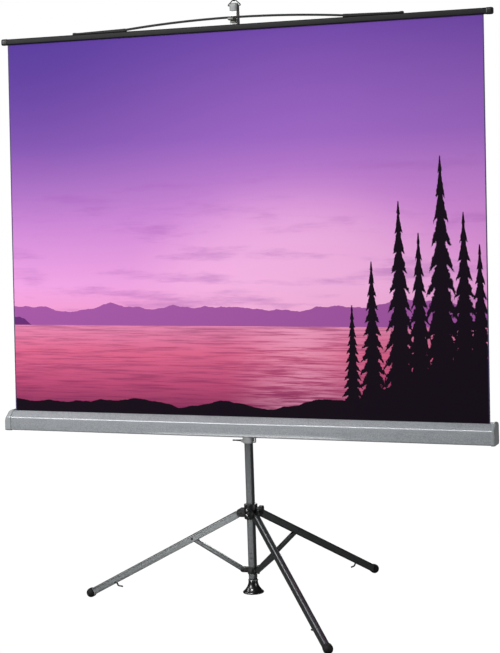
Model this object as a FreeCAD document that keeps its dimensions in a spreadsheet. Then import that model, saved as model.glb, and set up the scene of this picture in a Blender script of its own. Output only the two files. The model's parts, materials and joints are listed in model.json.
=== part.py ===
import FreeCAD, Part
import math
import os
import re

import Sketcher

doc = FreeCAD.newDocument("tripod_screen")

# Driving sizes in millimetres and degrees; heights are above the floor, depths are from the pole axis
DRIVING = {
    "fabric_width": 1800,
    "fabric_drop": 1353,
    "fabric_thick": 0.5,
    "fabric_split": 465,
    "fabric_tuck": 7,
    "slot_z": 700,
    "slot_setback": 30,
    "slot_gap": 4,
    "slat_depth": 14,
    "slat_height": 22,
    "slat_overhang": 6,
    "slat_cap": 23,
    "slat_shift": 4,
    "slat_chamfer": 4,
    "slat_slot": 2,
    "end_cap": 11,
    "cap_lip": 2,
    "tube_side": 25,
    "tube_wall": 1.5,
    "tube_base_z": 106,
    "tube_top_z": 1180,
    "guide_gap": 0.5,
    "mast_wall": 1.2,
    "mast_overlap": 160,
    "running_gap": 0.3,
    "pin_gap": 0.05,
    "seat_gap": 0.02,
    "case_depth": 70,
    "case_height": 70,
    "case_wall": 2,
    "case_bevel": 22,
    "case_chamfer": 7,
    "case_overhang": 8,
    "roller_r": 16,
    "roller_wall": 1.5,
    "roll_r": 21.5,
    "arbor_r": 5,
    "arbor_length": 220,
    "idle_length": 30,
    "bush_plug": 25,
    "bush_flange": 5,
    "sleeve_wall": 3.7,
    "sleeve_height": 96,
    "sleeve_drop": 106,
    "plate_thick": 4,
    "swivel_length": 11.5,
    "swivel_r": 10,
    "lever_width": 8,
    "lever_reach": 34,
    "clip_reach": 11,
    "clip_width": 10,
    "clip_height": 24,
    "collar_grip": 30,
    "collar_rise": 18,
    "knob_stem_r": 3,
    "clamp_knob_r": 10,
    "hub_knob_r": 13,
    "knob_length": 14,
    "boss_r": 6,
    "boss_length": 9,
    "hub_wall": 6,
    "hub_above": 33,
    "hub_below": 22,
    "hub_pin_r": 3,
    "link_pin_r": 2.5,
    "rivet_head": 1.7,
    "eye_clear": 1,
    "bracket_wall": 2.5,
    "bracket_height": 26,
    "low_pivot_z": 136,
    "link_length": 218,
    "leg_angle": 61.7,
    "azimuth_left": 182,
    "azimuth_front": 313.7,
    "azimuth_right": 65.6,
    "leg_width": 20,
    "leg_depth": 26,
    "leg_wall": 2,
    "leg_chamfer": 3,
    "strut_depth": 16,
    "strut_side_gap": 2,
    "cheek": 3,
    "foot_wall": 0.8,
    "foot_flat": 1.2,
    "foot_grip": 10,
    "foot_pad": 4,
    "catch_length": 14,
    "catch_height": 8,
    "catch_setback": 121,
    "peg_r": 2.5,
    "peg_drop": 11,
    "peg_reach": 15,
    "peg_bend": 47,
    "strap_half": 412,
    "strap_rise": 19,
    "strap_thick": 7,
    "strap_seat": 2,
    "grip_reach": 213,
    "grip_height": 8,
    "hook_width": 20,
    "hook_thick": 6,
    "hook_lip": 4,
    "lip_rise": 2,
    "top_cap_wall": 5,
    "top_cap_height": 82,
    "top_cap_socket": 30,
    "top_cap_chamfer": 6,
    "slat_clear": 6.5,
    "bail_r": 2,
    "bail_rise": 20,
    "bail_spread": 8,
    "bail_drop": 9,
    "bail_stub": 13,
    "stem_length": 8,
    "stem_r": 15,
    "ring_height": 5,
    "flare_r": 38,
    "flare_height": 44,
}

# Sizes that follow from the driving ones
DERIVED = {
    "tube_half": "=tube_side / 2",
    "mast_half": "=tube_half - tube_wall - guide_gap",
    "mast_base_z": "=tube_top_z - mast_overlap",
    "sleeve_half": "=tube_half + running_gap + sleeve_wall",
    "sleeve_base_z": "=slot_z - sleeve_drop",
    "hub_r": "=tube_half * sqrt(2) + running_gap + hub_wall",
    "bracket_half": "=tube_half + bracket_wall",
    "eye_r": "=leg_depth / 2 - 2",
    "pivot_radius": "=hub_r + eye_r + eye_clear",
    "hub_z": "=low_pivot_z + 2 * link_length * cos(leg_angle)",
    "dip": "=90 - leg_angle",
    "leg_hollow": "=leg_width - 2 * leg_wall",
    "leg_gap": "=leg_width + 2 * running_gap",
    "strut_width": "=leg_hollow - 2 * strut_side_gap",
    "strut_gap": "=strut_width + 2 * running_gap",
    "foot_r": "=sqrt(leg_width ^ 2 + leg_depth ^ 2) / 2 + foot_wall",
    "leg_length": "=(hub_z - foot_r + foot_flat) / cos(leg_angle)",
    "leg_end": "=leg_length - foot_pad",
    "foot_reach": "=pivot_radius + leg_length * sin(leg_angle)",
    "pole_y": "=-foot_reach * (sin(azimuth_front) + sin(azimuth_right)) / 2",
    "case_back_y": "=-sleeve_half - 2 * plate_thick - swivel_length",
    "case_front_y": "=case_back_y - case_depth",
    "case_base_z": "=slot_z - case_height",
    "case_half": "=fabric_width / 2 + case_overhang",
    "slot_y": "=case_front_y + slot_setback",
    "roller_y": "=case_back_y - case_depth / 2",
    "roller_z": "=case_base_z + case_height / 2 - 1",
    "roller_half": "=fabric_width / 2 + 2",
    "cap_half": "=mast_half + top_cap_wall",
    "slat_y": "=-cap_half - slat_clear - slat_depth / 2",
    "slat_z": "=slot_z + fabric_drop",
    "slat_top_z": "=slat_z + slat_height",
    "slat_half": "=fabric_width / 2 + slat_overhang",
    "spring_cap": "=slat_half + slat_cap + slat_shift - case_half",
    "lean": "=(slat_y - slot_y) / fabric_drop",
    "split_z": "=slot_z + fabric_split",
    "split_y": "=slot_y + lean * fabric_split",
    "tongue_top_z": "=slat_top_z + strap_rise + strap_seat",
    "cap_base_z": "=slat_top_z - 5",
    "cap_top_z": "=cap_base_z + top_cap_height",
    "stem_base_z": "=tube_base_z - stem_length",
    "flare_base_z": "=stem_base_z - flare_height",
}

sheet = doc.addObject("Spreadsheet::Sheet", "Sizes")
for row, (alias, value) in enumerate({**DRIVING, **DERIVED}.items(), start=1):
    sheet.set(f"A{row}", alias)
    sheet.set(f"B{row}", str(value))
    sheet.setAlias(f"B{row}", alias)
doc.recompute()

ALIASES = set(DRIVING) | set(DERIVED)
LEGS = ("left", "front", "right")
NODES = []


def size(alias):
    """A sheet value as a plain number."""
    return float(sheet.get(alias))


def link(text):
    """An expression with every alias pointing at the sheet."""
    return re.sub(r"[a-z_]+", lambda m: "Sizes." + m[0] if m[0] in ALIASES else m[0], str(text))


def bind(item, **properties):
    for name, text in properties.items():
        item.setExpression(name, link(text))
    return item


def place(item, x=0, y=0, z=0, yaw=0, pitch=0, roll=0):
    """Bind the placement: a shift, and turns about Z, Y and X."""
    text = f"placement(vector({x}; {y}; {z}); rotation({yaw}; {pitch}; {roll}))"
    item.setExpression("Placement", link(text))
    return item


def node(item, name, x=0, y=0, z=0, yaw=0, pitch=0, roll=0):
    """Name a finished piece and set it in the row frame, where the pole stands at pole_y."""
    item.Label = name
    NODES.append(item)
    return place(item, x, f"pole_y + ({y})", z, yaw, pitch, roll)


def box(x, y, z, length, width, height):
    """A block from its low corner."""
    item = doc.addObject("Part::Box", "block")
    bind(item, Length=length, Width=width, Height=height)
    return place(item, x, y, z)


def bar(half_x, half_y, z, height):
    """An upright block centred on the local axis."""
    return box(f"-({half_x})", f"-({half_y})", z, f"2 * ({half_x})", f"2 * ({half_y})", height)


AXIS_TURN = {"x": (0, 90, 0), "y": (0, 0, -90), "z": (0, 0, 0)}


def rod(radius, length, axis="z", x=0, y=0, z=0):
    """A round rod that starts at the given point and runs along an axis."""
    item = doc.addObject("Part::Cylinder", "rod")
    bind(item, Radius=radius, Height=length)
    return place(item, x, y, z, *AXIS_TURN[axis])


def ball(radius, x=0, y=0, z=0):
    item = doc.addObject("Part::Sphere", "ball")
    bind(item, Radius=radius)
    return place(item, x, y, z)


def join(*pieces):
    item = doc.addObject("Part::MultiFuse", "joined")
    item.Shapes = list(pieces)
    item.Refine = True
    return item


def cut(base, *tools):
    item = doc.addObject("Part::Cut", "cut")
    item.Base = base
    item.Tool = tools[0] if len(tools) == 1 else join(*tools)
    item.Refine = True
    return item


def profile(corners, role):
    """A body and its closed sketch, each corner bound to the sheet."""
    body = doc.addObject("PartDesign::Body", "section")
    sketch = body.newObject("Sketcher::SketchObject", "outline")
    plane = next(f for f in body.Origin.OriginFeatures if f.Role == role)
    sketch.AttachmentSupport = [(plane, "")]
    sketch.MapMode = "FlatFace"
    count = len(corners)
    turns = [2 * math.pi * k / count for k in range(count)]
    start = [FreeCAD.Vector(math.cos(t), math.sin(t), 0) for t in turns]
    for k in range(count):
        sketch.addGeometry(Part.LineSegment(start[k], start[(k + 1) % count]))
    for k in range(count):
        sketch.addConstraint(Sketcher.Constraint("Coincident", k, 2, (k + 1) % count, 1))
    for k, corner in enumerate(corners):
        for kind, text, value, axis in zip(("DistanceX", "DistanceY"), corner, start[k], (-2, -1)):
            if text == 0:
                sketch.addConstraint(Sketcher.Constraint("PointOnObject", k, 1, axis))
            else:
                number = sketch.addConstraint(Sketcher.Constraint(kind, -1, 1, k, 1, value))
                sketch.setExpression(f"Constraints[{number}]", link(text))
    return body, sketch


def extrude(corners, length):
    """A bar along X with the given section, as (y, z) corners."""
    body, sketch = profile(corners, "YZ_Plane")
    pad = body.newObject("PartDesign::Pad", "pad")
    pad.Profile = sketch
    bind(pad, Length=length)
    body.Tip = pad
    return body


def revolve(corners):
    """A turned piece about Z with the given half section, as (radius, z) corners."""
    body, sketch = profile(corners, "XZ_Plane")
    turned = body.newObject("PartDesign::Revolution", "turned")
    turned.Profile = sketch
    turned.ReferenceAxis = (sketch, ["V_Axis"])
    turned.Angle = 360
    body.Tip = turned
    return body


def rivet(radius, half, head_r):
    """A pin along Y with a head at each end, centred on the local origin."""
    shank = rod(radius, f"2 * ({half})", "y", y=f"-({half})")
    near = rod(head_r, "rivet_head", "y", y=f"-({half}) - rivet_head")
    far = rod(head_r, "rivet_head", "y", y=half)
    return [shank, near, far]


# Square pole, with two drilled holes in front of its lower end
tube_length = "tube_top_z - tube_base_z"
drilled = [rod(2.2, "tube_half", "y", y="-tube_half - 2", z=height) for height in (74, 92)]
tube = cut(
    bar("tube_half", "tube_half", 0, tube_length),
    bar("tube_half - tube_wall", "tube_half - tube_wall", -1, f"{tube_length} + 2"),
    *drilled,
)
node(tube, "outer_tube", z="tube_base_z")

# Stem, ring and flared foot under the pole
stem = rod("stem_r", "stem_length")
node(stem, "pole_stem", z="stem_base_z")
ring = cut(rod("stem_r + 3", "ring_height"), rod("stem_r", "ring_height + 2", z=-1))
node(ring, "stem_ring", z="stem_base_z")
flare = revolve([
    (0, "flare_base_z"), ("flare_r - 2", "flare_base_z"), ("flare_r", "flare_base_z + 3"),
    ("flare_r", "flare_base_z + 6"), ("flare_r * 0.84", "flare_base_z + 12"),
    ("flare_r * 0.69", "flare_base_z + 20"), ("flare_r * 0.56", "flare_base_z + 31"),
    ("stem_r + 2", "stem_base_z"), (0, "stem_base_z"),
])
node(flare, "pole_foot")

# Collar and clamp knob at the top of the pole
clamp_z = "tube_top_z + collar_rise / 2"
boss_end = "sleeve_half + boss_length"
collar = cut(
    join(
        bar("sleeve_half", "sleeve_half", "tube_top_z - collar_grip", "collar_grip + collar_rise"),
        rod("boss_r", boss_end, "y", z=clamp_z),
    ),
    bar("tube_half", "tube_half", "tube_top_z - collar_grip - 1", "collar_grip + 1"),
    bar("mast_half + running_gap", "mast_half + running_gap", "tube_top_z - 1", "collar_rise + 2"),
    rod("knob_stem_r + pin_gap", f"{boss_end} + 1", "y", z=clamp_z),
)
node(collar, "tube_collar")
clamp_tip = "mast_half + 1"
clamp_knob = join(
    rod("knob_stem_r", f"{boss_end} - ({clamp_tip}) + 1", "y", y=clamp_tip),
    rod("clamp_knob_r", "knob_length", "y", y=f"{boss_end} + running_gap"),
)
node(clamp_knob, "extension_knob", z=clamp_z)


# Fittings that carry the legs and struts
def clevis(side, gap, reach, pin_r, root_r):
    """Two cheeks that hold a link's eye at the pivot radius."""
    width = f"({gap} + 2 * cheek)"
    root = "tube_half + 2"
    block = join(
        box(root, f"-{width} / 2", f"-({reach})", f"pivot_radius - ({root})", width, f"2 * ({reach})"),
        rod(reach, width, "y", x="pivot_radius", y=f"-{width} / 2"),
    )
    slot = box(f"{root_r} + 0.4", f"-{gap} / 2", f"-({reach}) - 1", 60, gap, f"2 * ({reach}) + 2")
    hole = rod(f"{pin_r} + seat_gap", 80, "y", x="pivot_radius", y=-40)
    return place(cut(block, slot, hole), yaw=f"azimuth_{side}")


low_cheek_r, hub_cheek_r = "strut_depth / 2 + 1", "eye_r + 4"
low_ears = [clevis(side, "strut_gap", low_cheek_r, "link_pin_r", "bracket_half") for side in LEGS]
low_sleeve = bar("bracket_half", "bracket_half", "-bracket_height / 2", "bracket_height")
low_bore = bar("tube_half", "tube_half", "-bracket_height", "2 * bracket_height")
node(cut(join(low_sleeve, *low_ears), low_bore), "lower_bracket", z="low_pivot_z")

hub_knob_z = 16
bolt_turn, bolt_face, bolt_heights = 260, "hub_r + 2", {"upper": 13, "lower": -6}
hub_ears = [clevis(side, "leg_gap", hub_cheek_r, "hub_pin_r", "hub_r") for side in LEGS]
bolt_bosses = join(*[rod(7, f"{bolt_face} - 15", "x", x=15, z=height) for height in bolt_heights.values()])
place(bolt_bosses, yaw=bolt_turn)
hub_barrel = rod("hub_r", "hub_above + hub_below", z="-hub_below")
knob_boss = rod("boss_r + 1", "boss_length + 4", "x", x="hub_r - 4", z=hub_knob_z)
hub = cut(
    join(hub_barrel, bolt_bosses, knob_boss, *hub_ears),
    bar("tube_half + running_gap", "tube_half + running_gap", "-2 * hub_below", "2 * hub_below + 2 * hub_above"),
    rod("knob_stem_r + pin_gap", "hub_r + 20", "x", z=hub_knob_z),
)
node(hub, "hub", z="hub_z")
for name, height in bolt_heights.items():
    bolt = join(rod(4.5, 2.5, "x", x=bolt_face), rod(2.4, 1.2, "x", x=f"{bolt_face} + 2.4"))
    node(bolt, f"hub_bolt_{name}", z=f"hub_z + {height}", yaw=bolt_turn)
hub_boss_end = "hub_r + boss_length"
hub_tip = "tube_half + 0.7"
hub_knob = join(
    rod("knob_stem_r", f"{hub_boss_end} - ({hub_tip}) + 1", "x", x=hub_tip),
    rod("hub_knob_r", "knob_length", "x", x=f"{hub_boss_end} + running_gap"),
)
node(hub_knob, "hub_knob", z=f"hub_z + {hub_knob_z}")


# Legs, each an inverted channel with an eye, a rubber foot and a catch, and the struts
def channel(start, length):
    """A leg's bar: an inverted channel with chamfered upper edges."""
    half, deep, wall, edge = "leg_width / 2", "leg_depth / 2", "leg_wall", "leg_chamfer"
    inner = f"{half} - {wall}"
    roof = f"{deep} - {wall}"
    body = extrude([
        (f"-{half}", f"-{deep}"), (f"-{half}", f"{deep} - {edge}"), (f"-{half} + {edge}", deep),
        (f"{half} - {edge}", deep), (half, f"{deep} - {edge}"), (half, f"-{deep}"),
        (inner, f"-{deep}"), (inner, f"{roof} - {edge} + 1"), (f"{inner} - {edge} + 1", roof),
        (f"-({inner}) + {edge} - 1", roof), (f"-({inner})", f"{roof} - {edge} + 1"), (f"-({inner})", f"-{deep}"),
    ], length)
    return place(body, x=start)


def leg_section(start, length):
    """A block that fills the leg's outer section."""
    return box(start, "-leg_width / 2", "-leg_depth / 2", length, "leg_width", "leg_depth")


def pivot_at(side, radius, height, pitch):
    """Placement of a piece that turns about a pivot in its leg's upright plane."""
    turn = f"azimuth_{side}"
    return {
        "x": f"({radius}) * cos({turn})", "y": f"({radius}) * sin({turn})", "z": height,
        "yaw": turn, "pitch": pitch,
    }


eye_reach = "eye_r * 2"
catch_x = "leg_length - catch_setback"
catch_mid = f"{catch_x} + catch_length / 2"
peg_end = "-leg_depth / 2 - peg_drop"
floor_block = box(-1500, -1500, -100, 3000, 3000, 100)
for side in LEGS:
    at_hub = pivot_at(side, "pivot_radius", "hub_z", "dip")
    at_low = pivot_at(side, "pivot_radius", "low_pivot_z", "-dip")
    at_link = pivot_at(
        side, "pivot_radius + link_length * sin(leg_angle)", "hub_z - link_length * cos(leg_angle)", "dip"
    )

    eye = join(
        box(0, "-leg_width / 2", "-eye_r", eye_reach, "leg_width", "2 * eye_r"),
        rod("eye_r", "leg_width", "y", y="-leg_width / 2"),
    )
    cheeks = cut(eye, box("-2 * eye_r", "-leg_hollow / 2", "-2 * eye_r", "5 * eye_r", "leg_hollow", "4 * eye_r"))
    leg = cut(
        join(cheeks, channel(f"{eye_reach} - 2", f"leg_end - {eye_reach} + 2")),
        rod("hub_pin_r + pin_gap", 40, "y", y=-20),
        rod("link_pin_r + seat_gap", 40, "y", x="link_length", y=-20),
    )
    node(leg, f"leg_{side}", **at_hub)

    foot_start = "leg_end - foot_grip"
    boot_r = "foot_r - foot_wall / 2"
    boot = rod(boot_r, f"leg_length - ({foot_start})", "x", x=foot_start)
    rubber = join(boot, ball("foot_r", x="leg_length"))
    socket = leg_section(f"{foot_start} - foot_r", "foot_grip + foot_r")
    foot = place(cut(rubber, socket), **at_hub)
    node(cut(foot, floor_block), f"leg_foot_{side}")

    seat = box(catch_x, "-leg_hollow / 2", "-leg_depth / 2", "catch_length", "leg_hollow", "catch_height")
    peg = rod("peg_r", "peg_drop + 1", x=catch_mid, z=peg_end)
    tip = place(rod("peg_r", "peg_reach"), x=catch_mid, z=peg_end, pitch="peg_bend - 180")
    bend = ball("peg_r", x=catch_mid, z=peg_end)
    node(join(seat, peg, bend, tip), f"leg_catch_{side}", **at_hub)

    hub_pin = join(*rivet("hub_pin_r", "leg_gap / 2 + cheek", 5))
    node(hub_pin, f"hub_pin_{side}", **at_hub)

    shoulder = "strut_side_gap - running_gap"
    spacers = [
        rod("link_pin_r + 2", shoulder, "y", y="strut_gap / 2"),
        rod("link_pin_r + 2", shoulder, "y", y="-leg_hollow / 2"),
    ]
    leg_pin = join(*rivet("link_pin_r", "leg_width / 2", "link_pin_r + 2"), *spacers)
    node(leg_pin, f"leg_pin_{side}", **at_link)

    strut_half, strut_r = "strut_width / 2", "strut_depth / 2"
    strut = cut(
        join(
            box(0, f"-{strut_half}", f"-{strut_r}", "link_length", "strut_width", "strut_depth"),
            rod(strut_r, "strut_width", "y", y=f"-{strut_half}"),
            rod(strut_r, "strut_width", "y", x="link_length", y=f"-{strut_half}"),
        ),
        rod("link_pin_r + pin_gap", 40, "y", y=-20),
        rod("link_pin_r + pin_gap", 40, "y", x="link_length", y=-20),
    )
    node(strut, f"strut_{side}", **at_low)
    low_pin = join(*rivet("link_pin_r", "strut_gap / 2 + cheek", "link_pin_r + 2"))
    node(low_pin, f"lower_pin_{side}", **at_low)

# Carriage that holds the case on the pole, with its locking lever
lever_x, lever_z = "-sleeve_half - 5.5", "sleeve_base_z + 8"
lever_gap = "lever_width + 2 * running_gap"
ear_half = f"({lever_gap}) / 2 + 4.7"
lever_ears = cut(
    box(f"{lever_x} - 6", f"-({ear_half})", f"{lever_z} - 8", 14, f"2 * ({ear_half})", 16),
    box(f"{lever_x} - 10", f"-({lever_gap}) / 2", f"{lever_z} - 20", 15, lever_gap, 40),
)
clip_size = ("clip_reach + 1", "clip_width", "clip_height")
side_clip = box("sleeve_half - 1", "-clip_width / 2", "sleeve_base_z + 1", *clip_size)
sleeve_bore_half = "tube_half + running_gap"
sleeve = cut(
    join(bar("sleeve_half", "sleeve_half", "sleeve_base_z", "sleeve_height"), lever_ears, side_clip),
    bar(sleeve_bore_half, sleeve_bore_half, "sleeve_base_z - 1", "sleeve_height + 2"),
    rod("link_pin_r + pin_gap", 60, "y", x=lever_x, y=-30, z=lever_z),
)
node(sleeve, "carriage_sleeve")
lever_half = "lever_width / 2"
lever = join(
    rod("link_pin_r", f"2 * ({ear_half})", "y", y=f"-({ear_half})"),
    rod(5, "lever_width", "y", y=f"-{lever_half}"),
    box("-lever_reach", f"-{lever_half}", -2.5, "lever_reach", "lever_width", 5),
    rod(4, "lever_width", "y", x="-lever_reach", y=f"-{lever_half}"),
)
node(lever, "case_lever", x=lever_x, z=lever_z)

swivel_z = "slot_z - case_height / 2"
carriage_plate = box(0, 0, 0, 34, "plate_thick", 56)
node(carriage_plate, "carriage_plate", x=-17, y="-sleeve_half - plate_thick", z=f"{swivel_z} - 32")
case_plate = box(0, 0, 0, 90, "plate_thick", 50)
node(case_plate, "case_plate", x=-45, y="case_back_y", z=f"{swivel_z} - 25")
swivel_bolt = rod("swivel_r", "swivel_length")
node(swivel_bolt, "swivel_bolt", y="case_back_y + plate_thick", z=swivel_z, roll=-90)


# Case and its end caps
def case_outline(grow):
    """The case's section, larger by grow, from the slot's front lip round to its back lip."""
    front, back = f"case_front_y - {grow}", f"case_back_y + {grow}"
    base, top = f"case_base_z - {grow}", f"slot_z + {grow}"
    lip = "slot_gap / 2"
    return [
        (f"slot_y - {lip}", top), (f"slot_y - {lip} - 4", top),
        (f"{front} + 5", f"{top} - case_bevel + 2"), (front, f"{top} - case_bevel - 3"),
        (front, f"{base} + case_chamfer"), (f"{front} + case_chamfer", base),
        (f"{back} - case_chamfer", base), (back, f"{base} + case_chamfer"),
        (back, f"{top} - case_chamfer"), (f"{back} - case_chamfer", top), (f"slot_y + {lip}", top),
    ]


shell_corners = case_outline("0") + case_outline("(-case_wall)")[::-1]
node(extrude(shell_corners, "2 * case_half"), "case_shell", x="-case_half")
# The cap at the spring's end is the longer one, and ends as far out as the slat does on the other side
node(extrude(case_outline("cap_lip"), "spring_cap"), "case_cap_left", x="-case_half - spring_cap")
node(extrude(case_outline("cap_lip"), "end_cap"), "case_cap_right", x="case_half")

# Spring roller with the wound fabric
at_roller = {"y": "roller_y", "z": "roller_z"}
roller_bore = "roller_r - roller_wall"
roller_length = "2 * roller_half"
roller = cut(rod("roller_r", roller_length, "x"), rod(roller_bore, f"{roller_length} + 2", "x", x=-1))
node(roller, "roller_tube", x="-roller_half", **at_roller)
roll = cut(
    rod("roll_r", "fabric_width", "x"),
    rod("roller_r + seat_gap", "fabric_width + 2", "x", x=-1),
)
node(roll, "fabric_roll", x="-fabric_width / 2", **at_roller)
for side, x, turn in (("left", "-roller_half", 180), ("right", "roller_half", 0)):
    bush = cut(
        join(
            rod(f"{roller_bore} - seat_gap", "bush_plug", "x", x="-bush_plug"),
            rod("roller_r + 3", "bush_flange", "x"),
        ),
        rod("arbor_r + pin_gap", "2 * bush_plug + 2", "x", x="-bush_plug - 1"),
    )
    node(bush, f"roller_bush_{side}", x=x, yaw=turn, **at_roller)
node(rod("arbor_r", "arbor_length"), "spring_arbor", x="-case_half", pitch=90, **at_roller)
node(rod("arbor_r", "idle_length"), "idle_pin", x="case_half - idle_length", pitch=90, **at_roller)

# Torsion spring round the arbor
SPRING_TURNS, SPRING_PITCH, SPRING_WIRE_R = 16, 11, 1.1
coil_r = (size("arbor_r") + size("roller_r") - size("roller_wall")) / 2
helix = Part.makeHelix(SPRING_PITCH, SPRING_PITCH * SPRING_TURNS, coil_r)
wire_end = Part.Circle(FreeCAD.Vector(coil_r, 0, 0), FreeCAD.Vector(0, 1, 0), SPRING_WIRE_R)
spring = doc.addObject("Part::Feature", "spring")
spring.Shape = Part.Wire(helix.Edges).makePipeShell([Part.Wire([wire_end.toShape()])], True, True)
spring_x = f"-roller_half + bush_plug + {SPRING_WIRE_R} + running_gap"
node(spring, "roller_spring", x=spring_x, pitch=90, **at_roller)


# Screen fabric: the stretch that the case takes up, and the stretch that the extension carries
def fabric(low_y, low_z, high_y, high_z):
    thin = "fabric_thick / 2"
    corners = [
        (f"{low_y} - {thin}", low_z), (f"{high_y} - {thin}", high_z),
        (f"{high_y} + {thin}", high_z), (f"{low_y} + {thin}", low_z),
    ]
    return extrude(corners, "fabric_width")


lower = fabric("slot_y - lean * fabric_tuck", "slot_z - fabric_tuck", "split_y", "split_z")
node(lower, "fabric_lower", x="-fabric_width / 2")
upper = fabric("split_y", "split_z", "slat_y + lean * fabric_tuck", "slat_z + fabric_tuck")
node(upper, "fabric_upper", x="-fabric_width / 2")


# Top slat and its end caps
def slat_outline(grow):
    """The slat's section, larger by grow, from the front of its slot round to the back."""
    front, back = f"slat_y - slat_depth / 2 - {grow}", f"slat_y + slat_depth / 2 + {grow}"
    base, top = f"slat_z - {grow}", f"slat_top_z + {grow}"
    edge = "slat_chamfer"
    return [
        (f"{front} + {edge}", base), (front, f"{base} + {edge}"), (front, f"{top} - {edge}"),
        (f"{front} + {edge}", top), (f"{back} - {edge}", top), (back, f"{top} - {edge}"),
        (back, f"{base} + {edge}"), (f"{back} - {edge}", base),
    ]


slot_corners = [
    ("slat_y + slat_slot / 2", "slat_z"), ("slat_y + slat_slot / 2", "slat_z + fabric_tuck + 2"),
    ("slat_y - slat_slot / 2", "slat_z + fabric_tuck + 2"), ("slat_y - slat_slot / 2", "slat_z"),
]
node(extrude(slat_outline(0) + slot_corners, "2 * slat_half"), "slat", x="slat_shift - slat_half")
for side, start in (("left", "slat_shift - slat_half - slat_cap"), ("right", "slat_shift + slat_half")):
    node(extrude(slat_outline(1), "slat_cap"), f"slat_cap_{side}", x=start)

# Handle strap that rises to the hook, and the grips that hold its ends on the slat
STRAP_STEPS = 16
steps = [-1 + 2 * k / STRAP_STEPS for k in range(STRAP_STEPS + 1)]
strap_half, strap_rise = size("strap_half"), size("strap_rise")
under = [FreeCAD.Vector(t * strap_half, 0, strap_rise * (1 - t * t)) for t in steps]
over = [p + FreeCAD.Vector(0, 0, size("strap_thick")) for p in under]
arcs = []
for points in (under, over):
    curve = Part.BSplineCurve()
    curve.interpolate(points)
    arcs.append(curve.toShape())
ends = [Part.makeLine(under[k], over[k]) for k in (0, -1)]
strap_face = Part.Face(Part.Wire(Part.__sortEdges__([*arcs, *ends])))
strap = doc.addObject("Part::Feature", "strap")
strap.Shape = strap_face.extrude(FreeCAD.Vector(0, size("slat_depth"), 0))
node(strap, "handle_strap", y="slat_y - slat_depth / 2", z="tongue_top_z - strap_rise + running_gap")

grip_front, grip_back = "slat_y - slat_depth / 2", "slat_y + slat_depth / 2"
grip_top = "slat_top_z + grip_height"
for side, start, stop in (
    ("left", "-strap_half - grip_reach", "-strap_half - grip_reach"),
    ("right", "strap_half", "strap_half + grip_reach - 10"),
):
    grip = place(extrude([
        (grip_front, "slat_top_z"), (grip_front, f"{grip_top} - 3"), (f"{grip_front} + 3", grip_top),
        (f"{grip_back} - 3", grip_top), (grip_back, f"{grip_top} - 3"), (grip_back, "slat_top_z"),
    ], "grip_reach"), x=start)
    bump = box(stop, grip_front, f"{grip_top} - 4", 10, "slat_depth", 7)
    node(join(grip, bump), f"handle_grip_{side}")

# Extension tube with its cap, the hook and the wire bail
extension_length = "cap_base_z + top_cap_socket - mast_base_z"
extension = cut(
    bar("mast_half", "mast_half", 0, extension_length),
    bar("mast_half - mast_wall", "mast_half - mast_wall", -1, f"{extension_length} + 2"),
)
node(extension, "extension_tube", z="mast_base_z")
bail_z = "cap_top_z - bail_drop"
bail_hole = rod("bail_r + pin_gap", "4 * cap_half", "x", x="-2 * cap_half", z=bail_z)
cap_shoulder, cap_crown = "cap_top_z - top_cap_chamfer", "cap_half - top_cap_chamfer"
cap_block = extrude([
    ("-cap_half", "cap_base_z"), ("-cap_half", cap_shoulder), (f"-({cap_crown})", "cap_top_z"),
    (cap_crown, "cap_top_z"), ("cap_half", cap_shoulder), ("cap_half", "cap_base_z"),
], "2 * cap_half")
top_cap = cut(
    place(cap_block, y="-cap_half", yaw=90),
    bar("mast_half", "mast_half", "cap_base_z - 1", "top_cap_socket + 1"),
    bail_hole,
)
node(top_cap, "top_cap")
hook_front = "slat_y - slat_depth / 2 - 2 - hook_lip"
hook_left = "-hook_width / 2"
hook_reach = f"-cap_half - ({hook_front})"
tongue = join(
    box(hook_left, hook_front, "tongue_top_z - hook_thick", "hook_width", hook_reach, "hook_thick"),
    box(hook_left, hook_front, "tongue_top_z - 1", "hook_width", "hook_lip", "lip_rise + 1"),
    box(hook_left, "-cap_half - 3", "tongue_top_z - hook_thick - 8", "hook_width", 3, "hook_thick + 7"),
)
node(tongue, "hook_tongue")

bail_foot_x = size("cap_half") + size("bail_spread")
bail_apex_x = 6
bail_slope = math.degrees(math.atan2(bail_foot_x - bail_apex_x, size("bail_rise")))
bail_wire_length = math.hypot(bail_foot_x - bail_apex_x, size("bail_rise"))
bail = [rod("bail_r", 2 * bail_apex_x, "x", x=-bail_apex_x, z="bail_rise")]
for sign, stub_start in ((-1, -bail_foot_x), (1, bail_foot_x - size("bail_stub"))):
    bail.append(rod("bail_r", "bail_stub", "x", x=stub_start))
    bail.append(ball("bail_r", x=sign * bail_foot_x))
    bail.append(ball("bail_r", x=sign * bail_apex_x, z="bail_rise"))
    bail.append(place(rod("bail_r", bail_wire_length), x=sign * bail_foot_x, pitch=-sign * bail_slope))
node(join(*bail), "wire_bail", z=bail_z)
TIP_HALF = 3.5
tip = cut(rod(5, 2 * TIP_HALF, "x", x=-TIP_HALF), rod("bail_r + pin_gap", 20, "x", x=-10))
node(tip, "bail_tip", z=f"{bail_z} + bail_rise")

doc.recompute()

for item in doc.Objects:
    if "Invalid" in item.State or "Error" in item.State:
        raise RuntimeError(f"{item.Label} did not rebuild")
os.makedirs("parts", exist_ok=True)
for item in NODES:
    if item.Shape.isNull() or not item.Shape.isValid():
        raise RuntimeError(f"{item.Label} has no sound solid")
    item.Shape.exportStep(os.path.join("parts", item.Label + ".step"))
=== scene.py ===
import json
import math

import bmesh
import bpy
from mathutils import Matrix, Vector


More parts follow.
